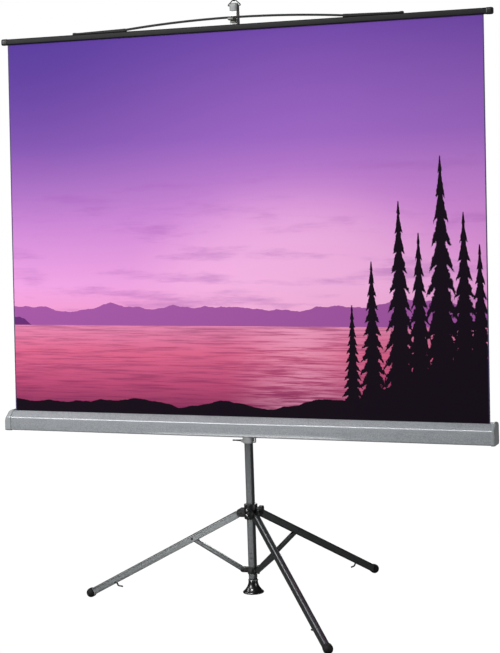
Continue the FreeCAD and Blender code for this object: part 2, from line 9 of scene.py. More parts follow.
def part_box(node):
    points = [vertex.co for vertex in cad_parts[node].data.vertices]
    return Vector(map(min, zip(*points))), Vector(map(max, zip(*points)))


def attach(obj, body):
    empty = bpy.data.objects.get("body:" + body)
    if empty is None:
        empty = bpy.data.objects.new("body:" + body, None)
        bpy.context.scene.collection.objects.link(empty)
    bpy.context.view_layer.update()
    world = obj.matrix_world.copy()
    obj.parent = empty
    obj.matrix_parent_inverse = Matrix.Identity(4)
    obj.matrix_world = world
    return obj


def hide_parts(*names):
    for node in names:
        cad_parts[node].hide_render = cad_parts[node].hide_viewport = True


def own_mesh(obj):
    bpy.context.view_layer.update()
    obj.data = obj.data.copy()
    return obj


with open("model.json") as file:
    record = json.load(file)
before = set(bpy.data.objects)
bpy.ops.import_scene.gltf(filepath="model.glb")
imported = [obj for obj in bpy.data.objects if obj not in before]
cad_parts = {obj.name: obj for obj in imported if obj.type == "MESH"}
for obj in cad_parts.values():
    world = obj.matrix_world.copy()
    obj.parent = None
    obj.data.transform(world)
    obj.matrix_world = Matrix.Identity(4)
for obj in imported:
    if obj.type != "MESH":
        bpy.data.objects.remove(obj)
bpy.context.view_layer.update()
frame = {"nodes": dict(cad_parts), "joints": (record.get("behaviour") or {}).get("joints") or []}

# Sizes and places read from the frame, in metres
MM = 0.001
SIDES = ("left", "front", "right")
ENDS = {"left": -1, "right": 1}
JOINTS = {joint["name"]: joint for joint in frame["joints"]}
POLE_LOW, POLE_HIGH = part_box("outer_tube")
POLE_HALF = POLE_HIGH.x
POLE_Y = (POLE_LOW.y + POLE_HIGH.y) / 2
POLE_PLAN = (0, POLE_Y)


def mm(*sizes):
    """Sizes that are given in millimetres."""
    return tuple(size * MM for size in sizes)


def pivot(joint):
    """The point that a hinge turns about."""
    return Vector(JOINTS[joint]["pos_m"])


def travel(joint):
    """How far a slide goes from rest."""
    return max(abs(end) for end in JOINTS[joint]["range_m"])


def shift(x=0, y=0, z=0):
    """A move without a turn."""
    return Matrix.Translation((x, y, z))


def on_pole(z=0):
    """A move to a height on the pole's axis."""
    return shift(0, POLE_Y, z)


def end_piece(node, sign):
    """An end piece's low and high corners, its inner face's x, and how far out it reaches."""
    low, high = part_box(node)
    inner_x = high.x if sign < 0 else low.x
    return low, high, inner_x, high.x - low.x


# Finishes


class Shade:
    """A socket of a finish that can stand in a Python sum."""

    def __init__(self, finish, socket):
        self.finish = finish
        self.socket = socket

    def maths(self, operation, first, second=0.0):
        return self.finish.node("Math", {"operation": operation}, {0: first, 1: second})

    def __add__(self, other):
        return self.maths("ADD", self, other)

    def __sub__(self, other):
        return self.maths("SUBTRACT", self, other)

    def __rsub__(self, other):
        return self.maths("SUBTRACT", other, self)

    def __mul__(self, other):
        return self.maths("MULTIPLY", self, other)

    def __truediv__(self, other):
        return self.maths("DIVIDE", self, other)

    def __lt__(self, other):
        return self.maths("LESS_THAN", self, other)

    def __gt__(self, other):
        return self.maths("GREATER_THAN", self, other)

    def __abs__(self):
        return self.maths("ABSOLUTE", self)

    __radd__ = __add__
    __rmul__ = __mul__

    def fraction(self):
        return self.maths("FRACT", self)

    def sine(self):
        return self.maths("SINE", self)


class Finish:
    """A material made node by node, and the record's slot that it stands for."""

    def __init__(self, name, slot, fixed):
        self.slot = slot
        self.material = bpy.data.materials.new(name)
        self.material.use_nodes = True
        self.tree = self.material.node_tree
        self.surface = self.tree.nodes["Principled BSDF"]
        for socket, value in fixed.items():
            self.surface.inputs[socket].default_value = value

    def node(self, kind, settings=None, sockets=None, output=0):
        """Any node: its type, its settings, then the values or links of its sockets."""
        made = self.tree.nodes.new("ShaderNode" + kind)
        for name, value in (settings or {}).items():
            if name == "stops":
                self.set_stops(made.color_ramp.elements, value)
            else:
                setattr(made, name, value)
        for name, value in (sockets or {}).items():
            self.feed(made.inputs[name], value)
        return Shade(self, made.outputs[output])

    @staticmethod
    def set_stops(elements, stops):
        for element, (position, colour) in zip(elements, (stops[0], stops[-1])):
            element.position = position
            element.color = colour
        for position, colour in stops[1:-1]:
            elements.new(position).color = colour

    def feed(self, socket, value):
        if isinstance(value, Shade):
            self.tree.links.new(value.socket, socket)
        else:
            socket.default_value = value

    def place(self):
        """Where a point lies on its piece."""
        return self.node("TexCoord", output="Object")

    def split(self):
        """The three parts of the place, x, y and z."""
        parts = self.node("SeparateXYZ", sockets={0: self.place()})
        return [Shade(self, socket) for socket in parts.socket.node.outputs]

    def noise(self, scale, stretch=(1, 1, 1), detail=4.0, roughness=0.55, offset=(0, 0, 0)):
        sockets = {"Vector": self.place(), "Location": offset, "Scale": stretch}
        place = self.node("Mapping", sockets=sockets)
        sockets = {"Vector": place, "Scale": scale, "Detail": detail, "Roughness": roughness}
        return self.node("TexNoise", sockets=sockets)

    def soft_step(self, value, low, high, to_low=0.0, to_high=1.0):
        sockets = {0: value, 1: low, 2: high, 3: to_low, 4: to_high}
        return self.node("MapRange", {"interpolation_type": "SMOOTHSTEP"}, sockets)

    def hammered(self, scale):
        """The grain of hammered enamel, in light and dark flecks."""
        return self.soft_step(self.noise(scale, detail=1), 0.36, 0.64)

    def mix(self, share, first, second):
        """Two colours mixed."""
        return self.node("Mix", {"data_type": "RGBA"}, {0: share, 6: first, 7: second}, output=2)

    def colour(self, value):
        self.feed(self.surface.inputs["Base Color"], value)

    def roughness(self, value):
        self.feed(self.surface.inputs["Roughness"], value)

    def relief(self, height, depth, strength=1.0):
        sockets = {"Height": height, "Distance": depth, "Strength": strength}
        self.feed(self.surface.inputs["Normal"], self.node("Bump", sockets=sockets))


def tint(red, green, blue):
    """A colour as seen on a display, 0 to 255, in the renderer's own scale."""
    parts = [value / 255 for value in (red, green, blue)]
    return (*[v / 12.92 if v < 0.04 else ((v + 0.055) / 1.055) ** 2.4 for v in parts], 1.0)


ALONG = {"x": (0.03, 1, 1), "y": (1, 0.03, 1), "z": (1, 1, 0.03)}


def enamelled_steel(name, slot, dark, light, gloss, along, metallic=0.35):
    """Metallic enamel on steel tube: clouds, hammered grain, drawing lines along it and fine scuffs."""
    finish = Finish(name, slot, {"Metallic": metallic, "Coat Weight": 0.2, "Coat Roughness": 0.2})
    cloud = finish.noise(22, detail=5)
    lines = finish.noise(420, ALONG[along], detail=3)
    scuffs = finish.soft_step(finish.noise(160, ALONG[along], detail=6), 0.66, 0.74)
    tone = finish.mix(0.4 * cloud + 0.25 * lines + 0.35 * finish.hammered(420), tint(*dark), tint(*light))
    finish.colour(finish.mix(0.25 * scuffs, tone, tint(150, 152, 154)))
    finish.roughness(gloss + 0.12 * cloud + 0.1 * lines + 0.1 * scuffs)
    finish.relief(finish.noise(1600, detail=2) + 0.6 * lines, 0.00005, 0.6)
    return finish


def moulded_plastic(name, slot, shade, pale, gloss, grain=900, shine=0.45, lacquer=0.0):
    """Moulded plastic with a fine spark-eroded grain, a trace of dust and, where lacquered, a clear coat."""
    fixed = {"IOR": 1.48, "Specular IOR Level": shine, "Coat Weight": lacquer, "Coat Roughness": 0.12}
    finish = Finish(name, slot, fixed)
    cells = finish.node("TexVoronoi", {"feature": "SMOOTH_F1"}, {"Vector": finish.place(), "Scale": grain})
    cloud = finish.noise(35, detail=5)
    dust = finish.soft_step(finish.noise(240, detail=6), 0.62, 0.8)
    tone = finish.mix(cloud, tint(*shade), tint(*pale))
    finish.colour(finish.mix(0.12 * dust, tone, tint(150, 150, 146)))
    finish.roughness(gloss + 0.14 * cloud + 0.12 * dust)
    finish.relief(cells, 0.00008, 0.5)
    return finish


def bare_steel(name, slot, dark, light, gloss):
    """Plated steel with turning marks and a faint tarnish."""
    finish = Finish(name, slot, {"Metallic": 1.0})
    marks = finish.noise(700, (1, 1, 0.12), detail=4)
    tarnish = finish.soft_step(finish.noise(60, detail=5), 0.5, 0.75)
    finish.colour(finish.mix(0.6 * marks + 0.4 * tarnish, tint(*light), tint(*dark)))
    finish.roughness(gloss + 0.14 * marks + 0.12 * tarnish)
    finish.relief(marks, 0.00003, 0.5)
    return finish


def drawn_aluminium(name, slot, dark, light, worn, gloss, metallic, coat, shine):
    """Painted aluminium extrusion: long die lines, hammered grain, a soft mottle and small rubbed marks."""
    fixed = {"Metallic": metallic, "Coat Weight": coat, "Coat Roughness": 0.1, "Specular IOR Level": shine}
    finish = Finish(name, slot, fixed)
    die_lines = finish.noise(260, (0.004, 1, 1), detail=5)
    mottle = finish.noise(30, (0.4, 1, 1), detail=6)
    rubs = finish.soft_step(finish.noise(190, (0.12, 1, 1), detail=6), 0.64, 0.74)
    grain = finish.hammered(340)
    tone = finish.mix(0.35 * mottle + 0.25 * die_lines + 0.4 * grain, tint(*dark), tint(*light))
    finish.colour(finish.mix(0.2 * rubs, tone, tint(*worn)))
    finish.roughness(gloss + 0.16 * mottle + 0.06 * die_lines)
    finish.relief(0.7 * die_lines + 0.6 * grain, 0.00006, 0.6)
    return finish


def worn_rubber(name, slot):
    """Matt black rubber, scuffed and dusty near the floor."""
    finish = Finish(name, slot, {"IOR": 1.5, "Specular IOR Level": 0.3})
    pores = finish.noise(1100, detail=4)
    scuffs = finish.soft_step(finish.noise(130, (1, 1, 2.5), detail=7), 0.56, 0.72)
    finish.colour(finish.mix(0.4 * scuffs, tint(20, 20, 21), tint(58, 57, 55)))
    finish.roughness(0.58 + 0.2 * pores + 0.15 * scuffs)
    finish.relief(pores + 0.6 * scuffs, 0.00012, 0.7)
    return finish


def glossy_foot(name, slot):
    """The polished black flare under the pole."""
    finish = Finish(name, slot, {"Coat Weight": 0.6, "Coat Roughness": 0.08, "Specular IOR Level": 0.6})
    swirl = finish.noise(240, (1, 1, 0.2), detail=4)
    finger_marks = finish.noise(45, detail=5)
    finish.colour(finish.mix(finger_marks, tint(9, 9, 10), tint(22, 22, 24)))
    finish.roughness(0.16 + 0.12 * swirl + 0.1 * finger_marks)
    finish.relief(swirl, 0.00002, 0.5)
    return finish


# The screen's dusk picture: a lake, two ranges of hills and a stand of firs
FABRIC_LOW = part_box("fabric_lower")[0]
FABRIC_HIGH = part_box("fabric_upper")[1]
FABRIC_HALF, FABRIC_THIN = FABRIC_HIGH.x, 0.25 * MM
SLOT_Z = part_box("case_shell")[1].z
SLAT_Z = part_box("slat")[0].z
SPLIT_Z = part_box("fabric_lower")[1].z
HEM = 4 * MM
SHORE = 0.235
GLOW = (0.63, 0.33)
FIRS = (
    (0.775, 0.40, 0.030), (0.83, 0.55, 0.040), (0.868, 0.47, 0.034), (0.912, 0.66, 0.048),
    (0.955, 0.52, 0.040), (0.985, 0.44, 0.032), (0.735, 0.29, 0.020),
)
FIR_ROOT, FIR_TIERS = 0.06, 11


def dusk_sky(finish, across, up):
    """Violet above, orchid and pink towards the glow, with long thin clouds."""
    height = finish.soft_step(up, SHORE, 1.0)
    bands = finish.node("ValToRGB", {"stops": [
        (0.0, tint(236, 150, 196)), (0.14, tint(232, 158, 218)), (0.36, tint(206, 136, 210)),
        (0.64, tint(150, 98, 186)), (1.0, tint(104, 66, 156)),
    ]}, {0: (up - SHORE) / (1 - SHORE)})
    sideways = finish.soft_step(across, 0.75, 0.0)
    sky = finish.mix(0.7 * sideways * height, bands, tint(58, 40, 124))
    near = (across - GLOW[0]) * (across - GLOW[0]) + 1.6 * (up - GLOW[1]) * (up - GLOW[1])
    glow = finish.soft_step(near, 0.2, 0.0)
    sky = finish.mix(0.55 * glow * glow, sky, tint(248, 190, 226))
    wisps = finish.noise(2.1, (1, 1, 7), detail=7, roughness=0.6, offset=(3, 0, 1))
    veil = finish.soft_step(wisps, 0.52, 0.7) * finish.soft_step(up, 0.85, 0.4)
    return finish.mix(0.42 * veil, sky, tint(150, 78, 168))


def lake(finish, across, up):
    """Pink at the far shore, magenta nearer, broken by ripples, with the glow's path on it."""
    depth = up / SHORE
    water = finish.node("ValToRGB", {"stops": [
        (0.0, tint(126, 42, 84)), (0.35, tint(190, 76, 118)), (0.7, tint(220, 102, 140)),
        (1.0, tint(226, 132, 172)),
    ]}, {0: depth})
    ripples = finish.noise(5, (1, 1, 26), detail=6, roughness=0.65)
    water = finish.mix(0.5 * finish.soft_step(ripples, 0.42, 0.68), water, tint(112, 36, 84))
    path = finish.soft_step(abs(across - GLOW[0]), 0.17, 0.0) * finish.soft_step(ripples, 0.6, 0.4)
    return finish.mix(0.5 * path, water, tint(246, 176, 206))


def hill_line(finish, low, rise, scale, offset):
    """How high a range stands, along the picture."""
    ridge = finish.noise(scale, (1, 0, 0), detail=6, roughness=0.5, offset=offset)
    return low + rise * ridge


def fir_mask(finish, across, up):
    """One where a fir stands: tiers of branches that widen downwards."""
    ragged = finish.noise(64, (1, 1, 0.8), detail=6, roughness=0.75)
    firs = None
    for centre, top, spread in FIRS:
        down = (top - up) / (top - FIR_ROOT)
        tier = (down * FIR_TIERS + 0.7 * ragged - 26 * abs(across - centre)).fraction()
        reach = spread * down * (0.1 + 0.6 * tier + 0.7 * ragged) + 0.001
        fir = (abs(across - centre) < reach) * (down > 0)
        firs = fir if firs is None else firs + fir
    return finish.soft_step(firs, 0.0, 0.5)


def bead_relief(finish):
    """The fine bead and weave of the screen's coating."""
    x, _, z = finish.split()
    weave = (x * 5200).sine() * (z * 5200).sine()
    finish.relief(finish.noise(2600, detail=2) + 0.35 * weave, 0.00006, 0.5)


def screen_picture(name, slot):
    """The front of the screen: the dusk picture on a matt beaded coat, with thin dark side hems."""
    finish = Finish(name, slot, {"Specular IOR Level": 0.06})
    x, _, z = finish.split()
    across = (x + FABRIC_HALF) / (2 * FABRIC_HALF)
    up = (z - SLOT_Z) / (SLAT_Z - SLOT_Z)
    picture = dusk_sky(finish, across, up)
    far = up < hill_line(finish, SHORE - 0.03, 0.16, 2.4, (0, 0, 0))
    picture = finish.mix(far, picture, tint(158, 84, 158))
    near = up < hill_line(finish, SHORE - 0.16, 0.36, 1.3, (4.2, 0, 0)) - 0.12 * across
    picture = finish.mix(near, picture, tint(100, 42, 112))
    picture = finish.mix(up < SHORE, picture, lake(finish, across, up))
    bank_top = hill_line(finish, -0.02, 0.1, 3.1, (9, 0, 0)) + 0.1 * finish.soft_step(across, 0.6, 0.95)
    dark = finish.soft_step((up < bank_top) + fir_mask(finish, across, up), 0.0, 0.5)
    picture = finish.mix(dark, picture, tint(16, 5, 20))
    hem = abs(x) > FABRIC_HALF - HEM
    speckle = finish.noise(900, detail=2)
    picture = finish.mix(0.006 * speckle, picture, tint(245, 235, 245))
    finish.colour(finish.mix(hem, picture, tint(76, 68, 100)))
    finish.roughness(0.78 + 0.14 * speckle)
    bead_relief(finish)
    return finish


def screen_backing(name, slot):
    """The black coated back of the fabric, with its weave showing through."""
    finish = Finish(name, slot, {"Specular IOR Level": 0.25})
    cloud = finish.noise(9, detail=6)
    creases = finish.soft_step(finish.noise(7, (1, 1, 14), detail=5), 0.5, 0.72)
    finish.colour(finish.mix(0.6 * cloud + 0.3 * creases, tint(30, 30, 33), tint(60, 60, 64)))
    finish.roughness(0.66 + 0.16 * cloud)
    bead_relief(finish)
    return finish


GREY_POLE = enamelled_steel("grey_pole", "pole_grey", (50, 53, 54), (102, 105, 106), 0.26, "z", 0.7)
GREY_LEG = enamelled_steel("grey_leg", "leg_grey", (64, 67, 68), (134, 137, 138), 0.24, "x", 0.97)
DARK_STRUT = enamelled_steel("dark_strut", "black_steel", (60, 63, 64), (122, 125, 126), 0.26, "x", 0.95)
BLACK_PLATE = enamelled_steel("black_plate", "black_steel", (30, 31, 33), (48, 49, 52), 0.34, "z")
PALE_MAST = enamelled_steel("pale_mast", "bright_steel", (186, 189, 190), (214, 216, 217), 0.28, "z")
PALE_HOOK = enamelled_steel("pale_hook", "cap_light", (214, 216, 212), (240, 241, 238), 0.34, "z", 0.1)
# Painted shade: the hook tongue's grey is a darker copy of the pale hook finish, standing for the shade under
# the strap
SHADED_HOOK = enamelled_steel("shaded_hook", "cap_light", (96, 97, 92), (132, 133, 126), 0.34, "z")
CAST_ZINC = enamelled_steel("cast_zinc", "bright_steel", (176, 178, 179), (220, 222, 222), 0.3, "z", 0.5)
BLACK_MOULDING = moulded_plastic("black_moulding", "black_plastic", (12, 12, 13), (26, 26, 28), 0.3)
GREY_MOULDING = moulded_plastic(
    "grey_moulding", "cap_grey", (138, 142, 145), (170, 174, 177), 0.3, lacquer=1.0,
)
HEAD_MOULDING = moulded_plastic("head_moulding", "cap_light", (104, 105, 106), (160, 161, 162), 0.36)
STRAP_MOULDING = moulded_plastic("strap_moulding", "strap_black", (12, 12, 13), (24, 24, 26), 0.45, 600, 0.2)
BRIGHT_STEEL = bare_steel("bright_steel", "bright_steel", (150, 151, 152), (214, 215, 216), 0.16)
DARK_WIRE = bare_steel("dark_wire", "wire", (40, 40, 42), (80, 80, 82), 0.28)
SILVER_CASE = drawn_aluminium(
    "silver_case", "case_silver", (117, 121, 126), (177, 181, 185), (196, 198, 200), 0.34, 0.3, 0.8, 0.5,
)
BLACK_SLAT = drawn_aluminium(
    "black_slat", "slat_black", (12, 12, 13), (26, 26, 28), (60, 60, 62), 0.44, 0.0, 0.0, 0.2,
)
RUBBER = worn_rubber("foot_rubber", "foot_rubber")
GLOSS_FLARE = glossy_foot("gloss_flare", "black_plastic")
PICTURE = screen_picture("screen_picture", "screen_fabric")
BACKING = screen_backing("screen_backing", "screen_fabric")


# Outlines and solid forms

ARC_STEPS = 6


def soft_outline(corners):
    """A closed outline whose (a, b, radius) corners are rounded with arcs."""
    points = []
    for k, (a, b, radius) in enumerate(corners):
        here = Vector((a, b))
        if radius == 0:
            points.append(here)
            continue
        before = (Vector(corners[k - 1][:2]) - here).normalized()
        after = (Vector(corners[(k + 1) % len(corners)][:2]) - here).normalized()
        half = before.angle(after) / 2
        centre = here + (before + after).normalized() * radius / math.sin(half)
        start = here + before * radius / math.tan(half) - centre
        stop = here + after * radius / math.tan(half) - centre
        sweep = start.angle(stop)
        for n in range(ARC_STEPS + 1):
            turn = sweep * n / ARC_STEPS
            points.append(centre + (start * math.sin(sweep - turn) + stop * math.sin(turn)) / math.sin(sweep))
    return points


def block_outline(low, high, radius):
    """A rectangle with round corners, from its low and high corners."""
    (a, b), (c, d) = low, high
    return soft_outline([(a, b, radius), (c, b, radius), (c, d, radius), (a, d, radius)])


def square_outline(half, radius, centre=(0, 0)):
    a, b = centre
    return block_outline((a - half, b - half), (a + half, b + half), radius)


def round_outline(radius, count=40, lobes=0, depth=0.0):
    """A circle, or with lobes the outline of a hand knob."""
    turns = [math.tau * k / count for k in range(count)]
    reach = [radius - depth * (0.5 + 0.5 * math.cos(lobes * t)) if lobes else radius for t in turns]
    return [Vector((r * math.cos(t), r * math.sin(t))) for r, t in zip(reach, turns)]


def link_outline(start, stop, radius, round_start=False, steps=14):
    """A flat link from start to stop with a round end, or with two."""
    turns = [math.pi * (k / steps - 0.5) for k in range(steps + 1)]
    points = [Vector((stop + radius * math.cos(t), radius * math.sin(t))) for t in turns]
    if round_start:
        return points + [Vector((start - radius * math.cos(t), -radius * math.sin(t))) for t in turns]
    return points + [Vector((start, radius)), Vector((start, -radius))]


def drawn_in(outline, inset):
    """A closed outline moved inwards."""
    pairs = list(zip(outline, outline[1:] + outline[:1]))
    side = 1 if sum(p.x * q.y - q.x * p.y for p, q in pairs) > 0 else -1
    moved = []
    for k, here in enumerate(outline):
        into = (here - outline[k - 1]).normalized()
        onward = (outline[(k + 1) % len(outline)] - here).normalized()
        along = (into + onward).normalized()
        moved.append(here + Vector((-along.y, along.x)) * side * inset / max(0.4, along.dot(onward)))
    return moved


def quarter(steps):
    """The angles of a quarter turn in even steps."""
    return [math.pi / 2 * n / steps for n in range(steps + 1)]


def eased(start, stop, edge, steps=3):
    """Stations from start to stop, as (place, inset), with both ends rounded by edge."""
    ends = [(edge * (1 - math.cos(t)), edge * (1 - math.sin(t))) for t in quarter(steps)]
    return [(start + d, i) for d, i in ends] + [(stop - d, i) for d, i in reversed(ends)]


AXES = {
    "x": lambda a, b, t: (t, a, b),
    "y": lambda a, b, t: (a, t, b),
    "z": lambda a, b, t: (a, b, t),
}


def ring_at(outline, axis, place, inset=0.0):
    """An outline's points at a place along an axis."""
    ring = drawn_in(outline, inset) if inset else outline
    return [AXES[axis](p.x, p.y, place) for p in ring]


def loft(rings, loop=False):
    """A solid skinned from ring to ring of points, with its ends closed or joined."""
    mesh = bmesh.new()
    rings = [[mesh.verts.new(point) for point in ring] for ring in rings]
    pairs = list(zip(rings, rings[1:]))
    if loop:
        pairs.append((rings[-1], rings[0]))
    for near, far in pairs:
        for k in range(len(near)):
            n = (k + 1) % len(near)
            mesh.faces.new((near[k], near[n], far[n], far[k]))
    if not loop:
        mesh.faces.new(rings[0])
        mesh.faces.new(rings[-1])
    return mesh


def bar(outline, axis, stations):
    """A solid bar: the outline at each (place, inset) along an axis."""
    return loft([ring_at(outline, axis, *station) for station in stations])


def pipe(outer, inner, axis, start, stop, edge=0.4 * MM):
    """A hollow bar between two outlines with as many points."""
    walls = [(outer, start, edge), (outer, start + edge, 0), (outer, stop - edge, 0), (outer, stop, edge)]
    walls += [(inner, stop, 0), (inner, start, 0)]
    return loft([ring_at(outline, axis, place, inset) for outline, place, inset in walls], loop=True)


def turned(profile, axis="z", count=48, loop=False):
    """A turned solid: (radius, place) points along an axis, closed at the ends or into a ring."""
    # A point on the axis is drawn as a tiny ring, which is then welded
    on_axis, weld = 0.01 * MM, 0.001 * MM if loop else 0.003 * MM
    mesh = loft([ring_at(round_outline(max(r, on_axis), count), axis, place) for r, place in profile], loop)
    bmesh.ops.remove_doubles(mesh, verts=mesh.verts, dist=weld)
    return mesh


def post(radius, start, stop, edge=0.0):
    """Profile of a round post, with the rim of its far end bevelled by edge."""
    rim = [(radius, stop - edge), (radius - edge, stop)] if edge else [(radius, stop)]
    return [(0, start), (radius, start), *rim, (0, stop)]


def dome(radius, height, base):
    """Profile of a domed head from its rim to its crown."""
    return [(radius * math.cos(t), base + height * math.sin(t)) for t in quarter(5)]


def moved(mesh, matrix):
    mesh.transform(matrix)
    return mesh


def as_data(mesh, name="shell"):
    """A mesh put down as mesh data."""
    data = bpy.data.meshes.new(name)
    mesh.to_mesh(data)
    mesh.free()
    return data


def in_scene(name, data):
    """A new object of the scene."""
    made = bpy.data.objects.new(name, data)
    bpy.context.scene.collection.objects.link(made)
    return made


def merged(*meshes):
    """Several solids in one mesh."""
    whole = meshes[0]
    for mesh in meshes[1:]:
        data = as_data(mesh)
        whole.from_mesh(data)
        bpy.data.meshes.remove(data)
    return whole


def solid_step(first, second, operation):
    """Two solids joined, or the second cut from the first."""
    holders = []
    for mesh in (first, second):
        bmesh.ops.recalc_face_normals(mesh, faces=mesh.faces)
        holders.append(in_scene("shell", as_data(mesh)))
    step = holders[0].modifiers.new("step", "BOOLEAN")
    step.object = holders[1]
    step.operation = operation
    step.solver = "EXACT"
    bpy.context.view_layer.update()
    result = bmesh.new()
    result.from_object(holders[0], bpy.context.evaluated_depsgraph_get())
    for holder in holders:
        data = holder.data
        bpy.data.objects.remove(holder)
        bpy.data.meshes.remove(data)
    return result


def fused(*meshes):
    whole = meshes[0]
    for mesh in meshes[1:]:
        whole = solid_step(whole, mesh, "UNION")
    return whole


def cut(mesh, *tools):
    for tool in tools:
        mesh = solid_step(mesh, tool, "DIFFERENCE")
    return mesh


def show(name, mesh, finish, body, replaces=(), at=None, crease=38):
    """Turn a finished mesh into a named piece that rides on a body."""
    bmesh.ops.recalc_face_normals(mesh, faces=mesh.faces)
    data = as_data(mesh, name)
    data.materials.append(finish.material)
    data.polygons.foreach_set("use_smooth", [True] * len(data.polygons))
    data.set_sharp_from_angle(angle=math.radians(crease))
    piece = in_scene(name, data)
    if at is not None:
        piece.matrix_world = at
    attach(piece, body)
    if replaces:
        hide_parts(*replaces)
    return piece


def dress(finish, *nodes):
    """Give frame nodes that stay in view their finish."""
    for name in nodes:
        node = frame["nodes"][name]
        node.data.materials.clear()
        node.data.materials.append(finish.material)


# Knobs, rivets, wires and square tubes


def hand_knob(radius, start, stop, axis, stem_r, stem_start):
    """A lobed knob on its threaded stem, along an axis from the origin."""
    points, lobes, lobe_deep = 64, 8, 1.5 * MM
    grip = bar(round_outline(radius, points, lobes, lobe_deep), axis, eased(start, stop, 2 * MM, 4))
    boss = turned([(0, stop - 1 * MM), *dome(radius * 0.55, 1.8 * MM, stop - 0.5 * MM)], axis, 32)
    stem = turned(post(stem_r, stem_start, start + 3 * MM), axis, 24)
    return merged(grip, boss, stem)


def rivet(shank, half, head_r, head):
    """A domed rivet across a link, centred on its pivot."""
    left = [(r, -place) for r, place in reversed(dome(head_r, head, half))]
    return turned([*left, (shank, -half), (shank, half), *dome(head_r, head, half)], "y", 28)


def wire_form(points, radius):
    """A bent wire: a round bar along a path with rounded bends."""
    curve = bpy.data.curves.new("wire", "CURVE")
    curve.dimensions = "3D"
    curve.bevel_depth = radius
    curve.bevel_resolution = 5
    curve.use_fill_caps = True
    curve.resolution_u = 10
    spline = curve.splines.new("NURBS")
    spline.points.add(len(points) - 1)
    for point, place in zip(spline.points, points):
        point.co = (*place, 1)
    spline.order_u = 3
    spline.use_endpoint_u = True
    holder = in_scene("wire", curve)
    bpy.context.view_layer.update()
    mesh = bmesh.new()
    data = bpy.data.meshes.new_from_object(holder.evaluated_get(bpy.context.evaluated_depsgraph_get()))
    mesh.from_mesh(data)
    bpy.data.objects.remove(holder)
    bpy.data.curves.remove(curve)
    bpy.data.meshes.remove(data)
    return mesh


def square_tube(half, corner, bore, bore_corner, low, high, *edge):
    """A square tube on the pole's axis, between the heights of two points."""
    outer = square_outline(half, corner, POLE_PLAN)
    inner = square_outline(bore, bore_corner, POLE_PLAN)
    return pipe(outer, inner, "z", low.z, high.z, *edge)


def pole_bore(play, corner):
    """A cutter for the hole that the pole goes through."""
    reach = 100 * MM
    return bar(square_outline(POLE_HALF + play, corner), "z", [(-reach, 0), (reach, 0)])


# Pole, stem and flared foot


def build_pole():
    wall, corner, hole_r = mm(1.5, 2.6, 2.2)
    holes_above_base = mm(74, 92)
    tube = square_tube(POLE_HALF, corner, POLE_HALF - wall, corner - wall, POLE_LOW, POLE_HIGH)
    drills = []
    for rise in holes_above_base:
        drill = turned([(hole_r, -2 * POLE_HALF), (hole_r, 0)], "y", 24)
        drills.append(moved(drill, on_pole(POLE_LOW.z + rise)))
    show("pole_tube", cut(tube, *drills), GREY_POLE, "stand", ["outer_tube"])


def build_stem():
    low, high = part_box("pole_stem")
    radius, edge = high.x, 1 * MM
    plug = turned(post(radius, low.z, high.z, edge))
    show("pole_plug", moved(plug, on_pole()), BLACK_MOULDING, "stand", ["pole_stem"])

    low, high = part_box("stem_ring")
    rim = high.x
    band = [(radius, low.z), (rim - edge, low.z), (rim, low.z + edge), (rim, high.z - edge)]
    band += [(rim - edge, high.z), (radius, high.z)]
    show("stem_band", moved(turned(band, loop=True), on_pole()), BRIGHT_STEEL, "stand", ["stem_ring"])


def build_flare():
    """A bell-shaped foot, hollow underneath, that hangs clear of the floor."""
    low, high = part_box("pole_foot")
    rim, neck, steps = high.x, 17 * MM, 18
    lip, lip_bend, curve = 4 * MM, 0.4 * MM, 2.2
    profile = [(0, low.z + 9 * MM), (rim * 0.55, low.z + 8 * MM), (rim - 3 * MM, low.z + 1.2 * MM)]
    profile += [(rim - 1.6 * MM, low.z), (rim - lip_bend, low.z + 0.8 * MM), (rim, low.z + 2.2 * MM)]
    for n in range(steps + 1):
        t = n / steps
        bell = (1 - t) ** curve
        profile.append((neck + (rim - lip_bend - neck) * bell, low.z + lip + (high.z - low.z - lip) * t))
    profile.append((0, high.z))
    show("pole_bell", moved(turned(profile, count=64), on_pole()), GLOSS_FLARE, "stand", ["pole_foot"])


# Hub, lower bracket, legs and struts

HUB_PIN_R, LINK_PIN_R, RIVET_HEAD = mm(3, 2.5, 1.7)
LEG_WIDTH, LEG_DEPTH, LEG_WALL = mm(20, 26, 2)
EYE_R = LEG_DEPTH / 2 - 2 * MM
STRUT_WIDTH, STRUT_DEPTH = mm(12, 16)
CHEEK, RUN = mm(3, 0.3)
FOOT_R, FOOT_FLAT = math.hypot(LEG_WIDTH, LEG_DEPTH) / 2 + 0.8 * MM, 1.2 * MM
FOOT_GRIP, FOOT_PAD = mm(10, 4)


class LegPlace:
    """Pivots and frames of one leg and its strut."""

    def __init__(self, side):
        # The leg's arm is as long as the strut, so the hub is as far above the link as the bracket is below
        self.low = pivot(f"strut_fold_{side}")
        self.link = pivot(f"leg_fold_{side}")
        self.hub = Vector((self.low.x, self.low.y, 2 * self.link.z - self.low.z))
        self.azimuth = math.atan2(self.low.y - POLE_Y, self.low.x)
        self.radius = math.hypot(self.low.x, self.low.y - POLE_Y)
        along = (self.link - self.hub).normalized()
        self.length = (self.hub.z - FOOT_R + FOOT_FLAT) / -along.z
        self.link_length = (self.link - self.hub).length
        self.leg = self.frame_at(self.hub, along)
        self.strut = self.frame_at(self.low, (self.link - self.low).normalized())

    @staticmethod
    def frame_at(origin, along):
        """Local X along the bar, local Y level across it."""
        across = Vector((-along.y, along.x, 0)).normalized()
        upward = along.cross(across)
        turn = Matrix((along, across, upward)).transposed().to_4x4()
        return shift(*origin) @ turn


LEGS = {side: LegPlace(side) for side in SIDES}


